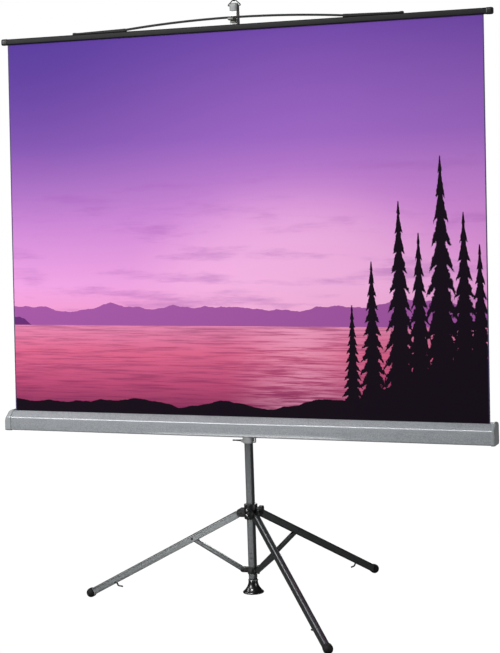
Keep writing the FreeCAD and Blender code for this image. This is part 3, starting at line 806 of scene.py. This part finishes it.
def fork(place, gap, reach):
    """The two ears that hold a link's eye beside the pole."""
    ears = []
    outline = link_outline(POLE_HALF + 3 * MM, place.radius, reach)
    for start in (-gap / 2 - CHEEK, gap / 2):
        ear = bar(outline, "y", eased(start, start + CHEEK, 0.7 * MM))
        ears.append(moved(ear, Matrix.Rotation(place.azimuth, 4, "Z")))
    return ears


def collar_barrel(radius, low, high, edge):
    """A round moulding that surrounds the square pole."""
    ends = [(radius - edge * (1 - math.sin(t)), edge * (1 - math.cos(t))) for t in quarter(4)]
    lower = [(r, low + d) for r, d in ends]
    upper = [(r, high - d) for r, d in reversed(ends)]
    return turned([(0, low), *lower, *upper, (0, high)], count=64)


def build_hub():
    low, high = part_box("hub")
    centre, knob_z = LEGS["left"].hub.z, pivot("hub_lock").z
    barrel_r, boss_r = LEGS["left"].radius - EYE_R - 1 * MM, 7 * MM
    bolt_face, boss_end = barrel_r + 2 * MM, barrel_r + 9 * MM
    bolt_azimuth = math.radians(260)
    shells = [collar_barrel(barrel_r, low.z - centre, high.z - centre, 3 * MM)]
    for place in LEGS.values():
        shells += fork(place, LEG_WIDTH + 2 * RUN, EYE_R + 4 * MM)
    bolts = {}
    for name in ("lower", "upper"):
        bolt_low, bolt_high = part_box(f"hub_bolt_{name}")
        height = (bolt_low.z + bolt_high.z) / 2 - centre
        bolts[name] = Matrix.Rotation(bolt_azimuth, 4, "Z") @ shift(z=height)
        shells.append(moved(turned(post(boss_r, 0, bolt_face, 0.8 * MM), "x", 32), bolts[name]))
    shells.append(moved(turned(post(boss_r, 0, boss_end, 1 * MM), "x", 32), shift(z=knob_z - centre)))
    hub = cut(fused(*shells), pole_bore(RUN, 2 * MM))
    show("leg_hub", moved(hub, on_pole(centre)), BLACK_MOULDING, "hub_slider", ["hub"])

    washer_top, head_top, tip_base = bolt_face + 0.7 * MM, bolt_face + 3.2 * MM, bolt_face + 3 * MM
    for name, place in bolts.items():
        washer = turned(post(5 * MM, bolt_face, washer_top), "x", 32)
        head = bar(round_outline(4.2 * MM, 6), "x", eased(washer_top, head_top, 0.5 * MM))
        tip = turned([(0, tip_base), *dome(2.3 * MM, 0.7 * MM, tip_base)], "x", 24)
        bolt = moved(merged(washer, head, tip), on_pole(centre) @ place)
        show(f"hub_bolt_head_{name}", bolt, BRIGHT_STEEL, "hub_slider", [f"hub_bolt_{name}"])

    knob_low, knob_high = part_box("hub_knob")
    knob_r = (knob_high.z - knob_low.z) / 2
    grip = hand_knob(knob_r, boss_end + RUN, knob_high.x, "x", HUB_PIN_R, POLE_HALF + 0.7 * MM)
    show("hub_clamp_knob", moved(grip, on_pole(knob_z)), BLACK_MOULDING, "hub_clamp", ["hub_knob"])


def build_lower_bracket():
    low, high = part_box("lower_bracket")
    centre = LEGS["left"].low.z
    block = square_outline(POLE_HALF + 2.5 * MM, 3.5 * MM)
    shells = [bar(block, "z", eased(low.z - centre, high.z - centre, 1.2 * MM))]
    for place in LEGS.values():
        shells += fork(place, STRUT_WIDTH + 2 * RUN, STRUT_DEPTH / 2 + 1 * MM)
    bracket = cut(fused(*shells), pole_bore(0.02 * MM, 2.6 * MM))
    show("strut_bracket", moved(bracket, on_pole(centre)), BLACK_MOULDING, "stand", ["lower_bracket"])


def build_leg(side, place):
    body = f"{side}_leg"
    half, deep, wall = LEG_WIDTH / 2, LEG_DEPTH / 2, LEG_WALL
    crown, lip = mm(7.5, 0.8)
    eye_reach, leg_end = 2 * EYE_R, place.length - FOOT_PAD
    section = soft_outline([
        (-half, -deep, lip), (-half, deep, crown), (half, deep, crown), (half, -deep, lip),
        (half - wall, -deep, lip), (half - wall, deep - wall, crown - wall),
        (-half + wall, deep - wall, crown - wall), (-half + wall, -deep, lip),
    ])
    channel = bar(section, "x", [(eye_reach - 2 * MM, 0), (leg_end, 0)])
    cheeks = []
    for edge in (-half, half - wall):
        plate = bar(link_outline(-eye_reach - 4 * MM, 0, EYE_R), "y", eased(edge, edge + wall, 0.4 * MM))
        cheeks.append(moved(plate, Matrix.Rotation(math.pi, 4, "Y")))
    show(f"leg_{side}_channel", fused(channel, *cheeks), GREY_LEG, body, [f"leg_{side}"], place.leg)

    head = rivet(LINK_PIN_R, half, LINK_PIN_R + 2 * MM, RIVET_HEAD)
    at = place.leg @ shift(place.link_length)
    show(f"leg_{side}_rivet", head, DARK_WIRE, body, [f"leg_pin_{side}"], at)
    head = rivet(HUB_PIN_R, half + RUN + CHEEK, 5 * MM, RIVET_HEAD)
    show(f"hub_{side}_rivet", head, BLACK_PLATE, "hub_slider", [f"hub_pin_{side}"], place.leg)


def build_leg_foot(side, place):
    """A rubber ball on a short boot over the leg's end, flattened where it stands."""
    mouth, tip, steps = place.length - FOOT_PAD - FOOT_GRIP, place.length, 14
    boot_r = FOOT_R - 0.4 * MM
    waist = -math.acos(boot_r / FOOT_R)
    turns = [waist + (math.pi / 2 - waist) * n / steps for n in range(steps + 1)]
    profile = [(0, mouth), (boot_r - 3 * MM, mouth)]
    profile += [(boot_r - 1 * MM, mouth + 2.5 * MM), (boot_r, mouth + 6 * MM)]
    profile += [(FOOT_R * math.cos(t), tip + FOOT_R * math.sin(t)) for t in turns]
    boot = moved(turned(profile, "x", 56), place.leg)
    whole = boot.verts[:] + boot.edges[:] + boot.faces[:]
    floor = {"plane_co": (0, 0, 0), "plane_no": (0, 0, 1)}
    sole = bmesh.ops.bisect_plane(boot, geom=whole, clear_inner=True, **floor)["geom_cut"]
    bmesh.ops.edgeloop_fill(boot, edges=[e for e in sole if isinstance(e, bmesh.types.BMEdge)])
    boot = moved(boot, place.leg.inverted())
    show(f"leg_{side}_boot", boot, RUBBER, f"{side}_leg", [f"leg_foot_{side}"], place.leg)


def build_leg_catch(side, place):
    """A bent wire hook on a block in the leg's channel, which holds the folded leg."""
    setback, length, height, edge = mm(121, 14, 8, 0.6)
    drop, reach, bend, wire_r = 11 * MM, 18 * MM, math.radians(54), 3 * MM
    start = place.length - setback
    middle = start + length / 2
    hollow, base = LEG_WIDTH / 2 - LEG_WALL, -LEG_DEPTH / 2
    outline = block_outline((-hollow, base), (hollow, base + height), edge)
    block = bar(outline, "x", eased(start, start + length, edge))
    knee = Vector((middle, 0, base - drop))
    tip = knee - reach * Vector((math.sin(bend), 0, math.cos(bend)))
    path = [(middle, 0, base + 2 * MM), (middle, 0, base - drop / 2), knee, knee.lerp(tip, 0.4), tip]
    hook = wire_form(path, wire_r)
    head = rivet(2 * MM, LEG_WIDTH / 2, 3.4 * MM, 1.3 * MM)
    catch = merged(block, hook, moved(head, shift(middle, 0, base + height / 2)))
    show(f"leg_{side}_catch", catch, DARK_WIRE, f"{side}_leg", [f"leg_catch_{side}"], place.leg)


def build_strut(side, place):
    half, reach = STRUT_WIDTH / 2, STRUT_DEPTH / 2
    outline = link_outline(0, place.link_length, reach, round_start=True)
    link = bar(outline, "y", eased(-half, half, 1.6 * MM, 4))
    show(f"strut_{side}_bar", link, DARK_STRUT, f"{side}_strut", [f"strut_{side}"], place.strut)
    head = rivet(LINK_PIN_R, half + RUN + CHEEK, LINK_PIN_R + 2 * MM, RIVET_HEAD)
    show(f"strut_{side}_rivet", head, DARK_WIRE, "stand", [f"lower_pin_{side}"], place.strut)


# Clamp collar at the pole's top, and the carriage that holds the case


def build_collar():
    low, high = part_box("tube_collar")
    half, mast_half = high.x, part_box("extension_tube")[1].x
    body = square_tube(half, 4 * MM, mast_half + RUN, 1.5 * MM, low, high, 1.2 * MM)
    boss_end = high.y - POLE_Y
    boss = turned(post(6 * MM, half - 2 * MM, boss_end, 0.8 * MM), "y", 32)
    at = on_pole(pivot("extension_lock").z)
    show("mast_collar", merged(body, moved(boss, at)), BLACK_MOULDING, "stand", ["tube_collar"])
    knob_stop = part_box("extension_knob")[1].y - POLE_Y
    grip = hand_knob(10 * MM, boss_end + RUN, knob_stop, "y", 3 * MM, mast_half + 1 * MM)
    show("mast_clamp_knob", moved(grip, at), BLACK_MOULDING, "extension_clamp", ["extension_knob"])


def build_carriage():
    low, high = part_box("carriage_sleeve")
    bore, half = POLE_HALF + RUN, POLE_HALF + RUN + 3.7 * MM
    sleeve = square_tube(half, 3.2 * MM, bore, 2.2 * MM, low, high, 1 * MM)
    hinge = pivot("case_lock")
    lever_half = 4 * MM
    ear_half = lever_half + RUN + 4.7 * MM
    ear_outline = block_outline(mm(-5, -5.5), mm(6.5, 5.5), 3 * MM)
    ears = []
    for side in ENDS.values():
        ends = sorted((side * (lever_half + RUN), side * ear_half))
        ears.append(moved(bar(ear_outline, "y", eased(*ends, 0.6 * MM)), shift(*hinge)))
    clip_half, clip_wall = mm(5, 2.6)
    clip_low, clip_high = (half - 1 * MM, low.z + 1 * MM), (half + 11 * MM, low.z + 25 * MM)
    hole_low = (half + 1 * MM, clip_low[1] + clip_wall)
    hole_high = (clip_high[0] - clip_wall, clip_high[1] - clip_wall)
    outer = block_outline(clip_low, clip_high, 2.4 * MM)
    inner = block_outline(hole_low, hole_high, 1.4 * MM)
    clip = moved(pipe(outer, inner, "y", -clip_half, clip_half, 0.6 * MM), on_pole())
    show("carriage_body", merged(sleeve, *ears, clip), CAST_ZINC, "carriage", ["carriage_sleeve"])

    grip_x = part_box("case_lever")[0].x + 4 * MM - hinge.x
    upper = [
        mm(5, 4, 3), mm(-8, 3, 2),
        (grip_x + 4 * MM, 2 * MM, 1 * MM), (grip_x - 4 * MM, 3.6 * MM, 3 * MM),
    ]
    lower = [(a, -b, radius) for a, b, radius in reversed(upper)]
    arm = bar(soft_outline(upper + lower), "y", eased(-lever_half, lever_half, 1 * MM))
    pin = rivet(LINK_PIN_R, ear_half - 1 * MM, 3.4 * MM, 1 * MM)
    lever = moved(merged(arm, pin), shift(*hinge))
    show("case_lock_lever", lever, BLACK_MOULDING, "lever", ["case_lever"])

    for name, node in (("carriage_bracket", "carriage_plate"), ("case_bracket", "case_plate")):
        low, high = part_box(node)
        outline = block_outline((low.x, low.z), (high.x, high.z), 5 * MM)
        plate = bar(outline, "y", eased(low.y, high.y, 0.8 * MM))
        show(name, plate, BLACK_PLATE, "carriage", [node])
    low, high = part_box("swivel_bolt")
    shank = turned(post((high.x - low.x) / 2, low.y, high.y), "y", 6)
    at = shift(z=(low.z + high.z) / 2)
    show("case_swivel_bolt", moved(shank, at), BRIGHT_STEEL, "carriage", ["swivel_bolt"])


# Case, with the wound fabric inside


def case_corners(low, high, grow):
    """The case's section as (y, z, radius), from the slot's front lip round to its back lip."""
    front, back = low.y - grow, high.y + grow
    base, top = low.z - grow, high.z + grow
    slot = low.y + 30 * MM
    gap, bevel = mm(2, 22)
    return [
        (slot - gap, top, 0), (slot - gap - 4 * MM, top, 3 * MM), (front + 1.5 * MM, top - bevel, 9 * MM),
        (front, base, 4.5 * MM), (back, base, 7 * MM), (back, top, 7 * MM), (slot + gap, top, 0),
    ]


def build_case():
    low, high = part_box("case_shell")
    wall = 2 * MM
    outside = soft_outline(case_corners(low, high, 0))
    inside = drawn_in(outside, wall)
    lip_front, lip_back = inside[0], inside[-1]
    lip_front.x, lip_back.x = outside[0].x, outside[-1].x
    shell = bar(outside + inside[::-1], "x", [(low.x, 0), (high.x, 0)])
    show("case_extrusion", shell, SILVER_CASE, "carriage", ["case_shell"], crease=30)
    crowns = {"left": mm(20, 22), "right": mm(8, 5)}
    for side, sign in ENDS.items():
        run, drop = crowns[side]
        cap_low, cap_high, inner_x, depth = end_piece(f"case_cap_{side}", sign)
        lip = cap_high.z - high.z
        outline = soft_outline([(a, b, r + lip) for a, b, r in case_corners(low, high, lip)[1:-1]])
        middle, base = (cap_low.y + cap_high.y) / 2, cap_low.z
        stations = [(0, 0.01), mm(0.8, 0)]
        stations += [(depth - run * (1 - math.sin(t)), 1 - math.cos(t)) for t in quarter(9)]
        rings = []
        for place, fall in stations:
            x = inner_x + sign * place
            wide, tall = 1 - fall * 0.12, 1 - fall * drop / (cap_high.z - base)
            rings.append([(x, middle + (p.x - middle) * wide, base + (p.y - base) * tall) for p in outline])
        show(f"case_end_{side}", loft(rings), GREY_MOULDING, "carriage", [f"case_cap_{side}"], crease=50)


def build_roll():
    """The fabric left on the roller, wound in a spiral."""
    low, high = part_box("fabric_roll")
    outer_r = (high.y - low.y) / 2
    core_r, turns, per_turn = 16.1 * MM, 5, 40
    count = turns * per_turn
    layer = (outer_r - core_r) / (turns + 1)

    def spiral(step, lift):
        angle = math.tau * step / per_turn
        radius = core_r + layer * step / per_turn + lift
        return Vector((radius * math.cos(angle), radius * math.sin(angle)))

    outward = [spiral(k, 0) for k in range(count + 1)]
    inward = [spiral(k, layer * 0.55) for k in range(count, -1, -1)]
    roll = bar(outward + inward, "x", [(low.x, 0), (high.x, 0)])
    at = shift(0, (low.y + high.y) / 2, (low.z + high.z) / 2)
    show("wound_fabric", roll, BACKING, "roller", ["fabric_roll"], at)


# Screen fabric, slat and handle


def fabric_y(z):
    """The plane of the stretched fabric, which leans back from the slot to the slat."""
    near, far = FABRIC_LOW.y + FABRIC_THIN, FABRIC_HIGH.y - FABRIC_THIN
    return near + (far - near) * (z - FABRIC_LOW.z) / (FABRIC_HIGH.z - FABRIC_LOW.z)


def strip(mesh, near, far, material):
    """A row of faces between two lines of corners."""
    for k in range(len(near) - 1):
        mesh.faces.new((near[k], near[k + 1], far[k + 1], far[k])).material_index = material


def build_fabric(name, node, joint, stretch):
    """One stretch of the screen: a thin sheet with rolled side hems; the share that would stay out at its
    joint's end is worked out but not used.
    """
    low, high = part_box(node)
    rows, columns = 24, 72
    hem_thick, hem_step, hem_near = mm(0.55, 0.4, 0.1)
    picture_half = FABRIC_HALF - HEM
    inner = [-picture_half + 2 * picture_half * k / columns for k in range(columns + 1)]
    across = [-FABRIC_HALF, -picture_half - hem_step, *inner, picture_half + hem_step, FABRIC_HALF]
    mesh = bmesh.new()
    grids = []
    for material, side in enumerate((-1, 1)):
        grid = []
        for row in range(rows + 1):
            z = low.z + (high.z - low.z) * row / rows
            line = []
            for x in across:
                depth = hem_thick if abs(x) > picture_half + hem_near else FABRIC_THIN
                line.append(mesh.verts.new((x, fabric_y(z) + side * depth, z)))
            grid.append(line)
        grids.append(grid)
        for near, far in zip(grid, grid[1:]):
            strip(mesh, near, far, material)
    front, back = grids
    for end in (0, -1):
        strip(mesh, front[end], back[end], 1)
        strip(mesh, [line[end] for line in front], [line[end] for line in back], 1)
    piece = show(name, mesh, PICTURE, "stand", [node], crease=20)
    piece.data.materials.append(BACKING.material)
    keep = (stretch - travel(joint)) / stretch
    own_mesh(piece)
    return piece


def build_screen():
    lower = build_fabric("screen_lower", "fabric_lower", "case_height", SPLIT_Z - SLOT_Z)
    upper = build_fabric("screen_upper", "fabric_upper", "extension_slide", SLAT_Z - SPLIT_Z)


def build_slat():
    low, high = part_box("slat")
    middle = (low.y + high.y) / 2
    slot, slot_deep, round_edge, nose = mm(1, 9, 5.5, 7)
    section = soft_outline([
        (low.y, high.z, round_edge), (high.y, high.z, round_edge), (high.y, low.z, round_edge),
        (middle + slot, low.z, 0), (middle + slot, low.z + slot_deep, 0),
        (middle - slot, low.z + slot_deep, 0), (middle - slot, low.z, 0), (low.y, low.z, round_edge),
    ])
    rail = bar(section, "x", [(low.x, 0), (high.x, 0)])
    show("slat_rail", rail, BLACK_SLAT, "extension", ["slat"], crease=30)
    for side, sign in ENDS.items():
        cap_low, cap_high, inner_x, depth = end_piece(f"slat_cap_{side}", sign)
        outline = block_outline((cap_low.y, cap_low.z), (cap_high.y, cap_high.z), 6.5 * MM)
        stations = [mm(0, 0.6), mm(0.8, 0), mm(4, 0), mm(4.6, 0.7), mm(6, 0.7), mm(6.6, 0)]
        stations += [(depth - nose * (1 - math.sin(t)), nose * (1 - math.cos(t)) * 0.85) for t in quarter(6)]
        cap = bar(outline, "x", [(inner_x + sign * place, inset) for place, inset in stations])
        show(f"slat_end_{side}", cap, BLACK_MOULDING, "extension", [f"slat_cap_{side}"], crease=45)


def build_handle():
    """A springy strap that arches from the slat over the hook, held at both ends by grips."""
    low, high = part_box("handle_strap")
    half, thick, steps = high.x, 7 * MM, 64
    rise = high.z - low.z - thick
    middle, depth = (low.y + high.y) / 2, (high.y - low.y) / 2
    section = block_outline((-depth, 0), (depth, thick), 1.2 * MM)
    rings = []
    for n in range(steps + 1):
        t = -1 + 2 * n / steps
        lift = low.z + rise * (1 - t * t)
        rings.append([(t * half, middle + p.x, lift + p.y) for p in section])
    show("handle_strap_band", loft(rings), STRAP_MOULDING, "extension", ["handle_strap"])

    ribs, first_rib, rib_pitch, rib_full = 20, 20 * MM, 8 * MM, 0.94
    inner_height, taper, end_full, clip_length = 10.5 * MM, 5 * MM, 0.8, 12 * MM
    for side, sign in ENDS.items():
        grip_low, grip_high, inner_x, length = end_piece(f"handle_grip_{side}", sign)
        front, back, base = grip_low.y, grip_high.y, grip_low.z
        stations = [(0, end_full), (1 * MM, 1)]
        for k in range(ribs):
            start = first_rib + k * rib_pitch
            stations += [(start, 1), (start + 0.8 * MM, rib_full)]
            stations += [(start + 2.2 * MM, rib_full), (start + 3 * MM, 1)]
        stations += [(length - 1 * MM, 1), (length, end_full)]
        rings = []
        for place, fullness in stations:
            top = base + (inner_height - taper * place / length) * fullness
            section = soft_outline([
                (front, base, 1 * MM), (front, top, 2 * MM), (back, top, 2 * MM), (back, base, 1 * MM),
            ])
            rings.append(ring_at(section, "x", inner_x + sign * place))
        outer_x = inner_x + sign * length
        ends = sorted((outer_x, outer_x - sign * clip_length))
        clip = block_outline((front, base + 2 * MM), (back, grip_high.z - 4 * MM), 2 * MM)
        grip = merged(loft(rings), bar(clip, "x", eased(*ends, 2 * MM)))
        show(f"handle_end_{side}", grip, STRAP_MOULDING, "extension", [f"handle_grip_{side}"], crease=30)


# Extension mast, its head, the hook and the wire bail


def build_mast():
    low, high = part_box("extension_tube")
    half, wall, corner = high.x, 1.2 * MM, 2 * MM
    tube = square_tube(half, corner, half - wall, corner - wall, low, high)
    show("mast_tube", tube, PALE_MAST, "extension", ["extension_tube"])


def build_head():
    """The pale hook bracket on the mast, and the rounded grey moulding that closes it."""
    low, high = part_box("top_cap")
    half = high.x
    joint_z = high.z - 33 * MM
    outline = square_outline(half - 1.4 * MM, 3 * MM, POLE_PLAN)
    bracket = bar(outline, "z", eased(low.z, joint_z + 4 * MM, 0.8 * MM))
    show("mast_hook_bracket", bracket, PALE_HOOK, "extension")
    crown, skirt = mm(13, 7)
    stations = [(joint_z + skirt * (1 - math.cos(t)), skirt * (1 - math.sin(t)) * 0.8) for t in quarter(8)]
    stations += [(high.z - crown * (1 - math.sin(t)), crown * (1 - math.cos(t)) * 0.6) for t in quarter(8)]
    head = bar(square_outline(half, 10 * MM, POLE_PLAN), "z", stations)
    show("mast_head", head, HEAD_MOULDING, "extension", ["top_cap"])


def build_hook():
    """A tongue that carries the strap, with an upturned lip and a foot on the bracket; its grey is painted
    shade, a darker copy of the pale hook finish.
    """
    low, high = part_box("hook_tongue")
    lip, thick, foot = mm(4, 6, 3)
    shelf = high.z - 2 * MM
    outline = soft_outline([
        (low.y, high.z, 1.2 * MM), (low.y, shelf - thick, 4.5 * MM), (high.y - foot, shelf - thick, 1.5 * MM),
        (high.y - foot, low.z, 1 * MM), (high.y, low.z, 0), (high.y, shelf, 0),
        (low.y + lip, shelf, 0.8 * MM), (low.y + lip, high.z, 1.2 * MM),
    ])
    tongue = bar(outline, "x", eased(low.x, high.x, 1 * MM))
    show("strap_hook", tongue, SHADED_HOOK, "extension", ["hook_tongue"])


def build_bail():
    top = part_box("wire_bail")[1]
    radius = 2 * MM
    hinge = pivot("bail_swing")
    foot, apex, stub = top.x - radius, 6 * MM, 13 * MM
    rise = top.z - radius - hinge.z
    path = [(-foot + stub, 0), (-foot + 5 * MM, 0), (-foot, 0), (-foot + 1.2 * MM, 4 * MM)]
    path += [(-apex - 3 * MM, rise - 5 * MM), (-apex, rise), (-apex + 4 * MM, rise)]
    half = [Vector((x, hinge.y, hinge.z + z)) for x, z in path]
    other = [Vector((-p.x, p.y, p.z)) for p in reversed(half)]
    show("bail_wire", wire_form(half + other, radius), DARK_WIRE, "bail", ["wire_bail"])
    low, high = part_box("bail_tip")
    sleeve = bar(round_outline((high.z - low.z) / 2, 32), "x", eased(low.x, high.x, 1.2 * MM))
    at = shift(0, hinge.y, (low.z + high.z) / 2)
    show("bail_sleeve", moved(sleeve, at), BLACK_MOULDING, "bail", ["bail_tip"])


# Put the pieces together

build_pole()
build_stem()
build_flare()
build_hub()
build_lower_bracket()
for side, place in LEGS.items():
    build_leg(side, place)
    build_leg_foot(side, place)
    build_leg_catch(side, place)
    build_strut(side, place)
build_collar()
build_carriage()
build_case()
build_roll()
dress(BRIGHT_STEEL, "roller_tube", "roller_spring", "spring_arbor", "idle_pin")
dress(BLACK_MOULDING, "roller_bush_left", "roller_bush_right")
build_screen()
build_slat()
build_handle()
build_mast()
build_head()
build_hook()
build_bail()


# Floor, lights and camera


def build_floor():
    """A white floor, nearly clear so that the light below it reaches the stand."""
    mesh = bmesh.new()
    bmesh.ops.create_circle(mesh, cap_ends=True, segments=96, radius=40)
    floor = in_scene("floor", as_data(mesh, "floor"))
    finish = Finish("pale_floor", None, {"Specular IOR Level": 0.5, "Emission Strength": 1.0, "Alpha": 0.05})
    finish.surface.inputs["Emission Color"].default_value = (1, 1, 1, 1)
    cloud = finish.noise(0.8, detail=3)
    finish.colour(finish.mix(cloud, tint(246, 246, 246), tint(252, 252, 252)))
    finish.roughness(0.16 + 0.06 * cloud)
    floor.data.materials.append(finish.material)


def soft_light(name, place, aim, width, height, power):
    lamp = bpy.data.lights.new(name, "AREA")
    lamp.shape = "RECTANGLE"
    lamp.size = width
    lamp.size_y = height
    lamp.energy = power
    holder = in_scene(name, lamp)
    holder.location = place
    holder.rotation_euler = (Vector(aim) - Vector(place)).to_track_quat("-Z", "Y").to_euler()


def build_world():
    """Dim studio surroundings, with a white backdrop behind the object."""
    world = bpy.data.worlds.new("studio")
    world.use_nodes = True
    nodes, links = world.node_tree.nodes, world.node_tree.links
    seen = nodes.new("ShaderNodeLightPath")
    room, backdrop = nodes["Background"], nodes.new("ShaderNodeBackground")
    choice = nodes.new("ShaderNodeMixShader")
    links.new(seen.outputs["Is Camera Ray"], choice.inputs[0])
    for socket, (surrounding, strength) in enumerate(((room, 0.03), (backdrop, 1.0)), 1):
        surrounding.inputs["Color"].default_value = (1, 1, 1, 1)
        surrounding.inputs["Strength"].default_value = strength
        links.new(surrounding.outputs[0], choice.inputs[socket])
    links.new(choice.outputs[0], nodes["World Output"].inputs["Surface"])
    bpy.context.scene.world = world


def build_camera():
    """The photograph's viewpoint, for an image of 500 by 653 pixels."""
    image_long, sensor = 653, 36
    focal_pixels, shift_right, shift_down = 1669.177, 1.938, -71.858
    yaw, pitch, roll = (math.radians(a) for a in (22.032, 3.103, -1.866))
    eye = (2.24597, -5.460794 + POLE_Y, 1.584823)
    forward = Vector((-math.sin(yaw) * math.cos(pitch), math.cos(yaw) * math.cos(pitch), -math.sin(pitch)))
    right = Vector((math.cos(yaw), math.sin(yaw), 0))
    upward = right.cross(forward)
    turned_right = math.cos(roll) * right + math.sin(roll) * upward
    turned_up = -math.sin(roll) * right + math.cos(roll) * upward
    lens = bpy.data.cameras.new("view")
    lens.sensor_width = sensor
    lens.lens = focal_pixels * sensor / image_long
    lens.shift_x = -shift_right / image_long
    lens.shift_y = shift_down / image_long
    turn = Matrix((turned_right, turned_up, -forward)).transposed().to_4x4()
    holder = in_scene("view", lens)
    holder.matrix_world = shift(*eye) @ turn
    bpy.context.scene.camera = holder


build_floor()
build_world()
soft_light("key", (-3.0, -4.6, 3.2), (0, 0, 1.1), 2.6, 2.0, 215)
soft_light("front_strip", (-0.55, -2.6, 4.0), (0, 0, 0.7), 1.5, 0.25, 74)
soft_light("under_floor", (-2.1, -5.2, -0.85), (0, 0, 0.4), 1.3, 0.7, 28)
soft_light("left_strip", (-3.6, -0.7, 3.0), (0.2, -0.3, 0.2), 0.4, 2.0, 30)
soft_light("right_side", (4.2, -0.9, 0.9), (0.9, -0.1, 0.66), 0.6, 1.2, 40)
soft_light("back", (-1.6, 5.4, 3.2), (0, 0, 1.0), 2.5, 2.0, 150)
build_camera()
bpy.context.scene.view_settings.view_transform = "Standard"
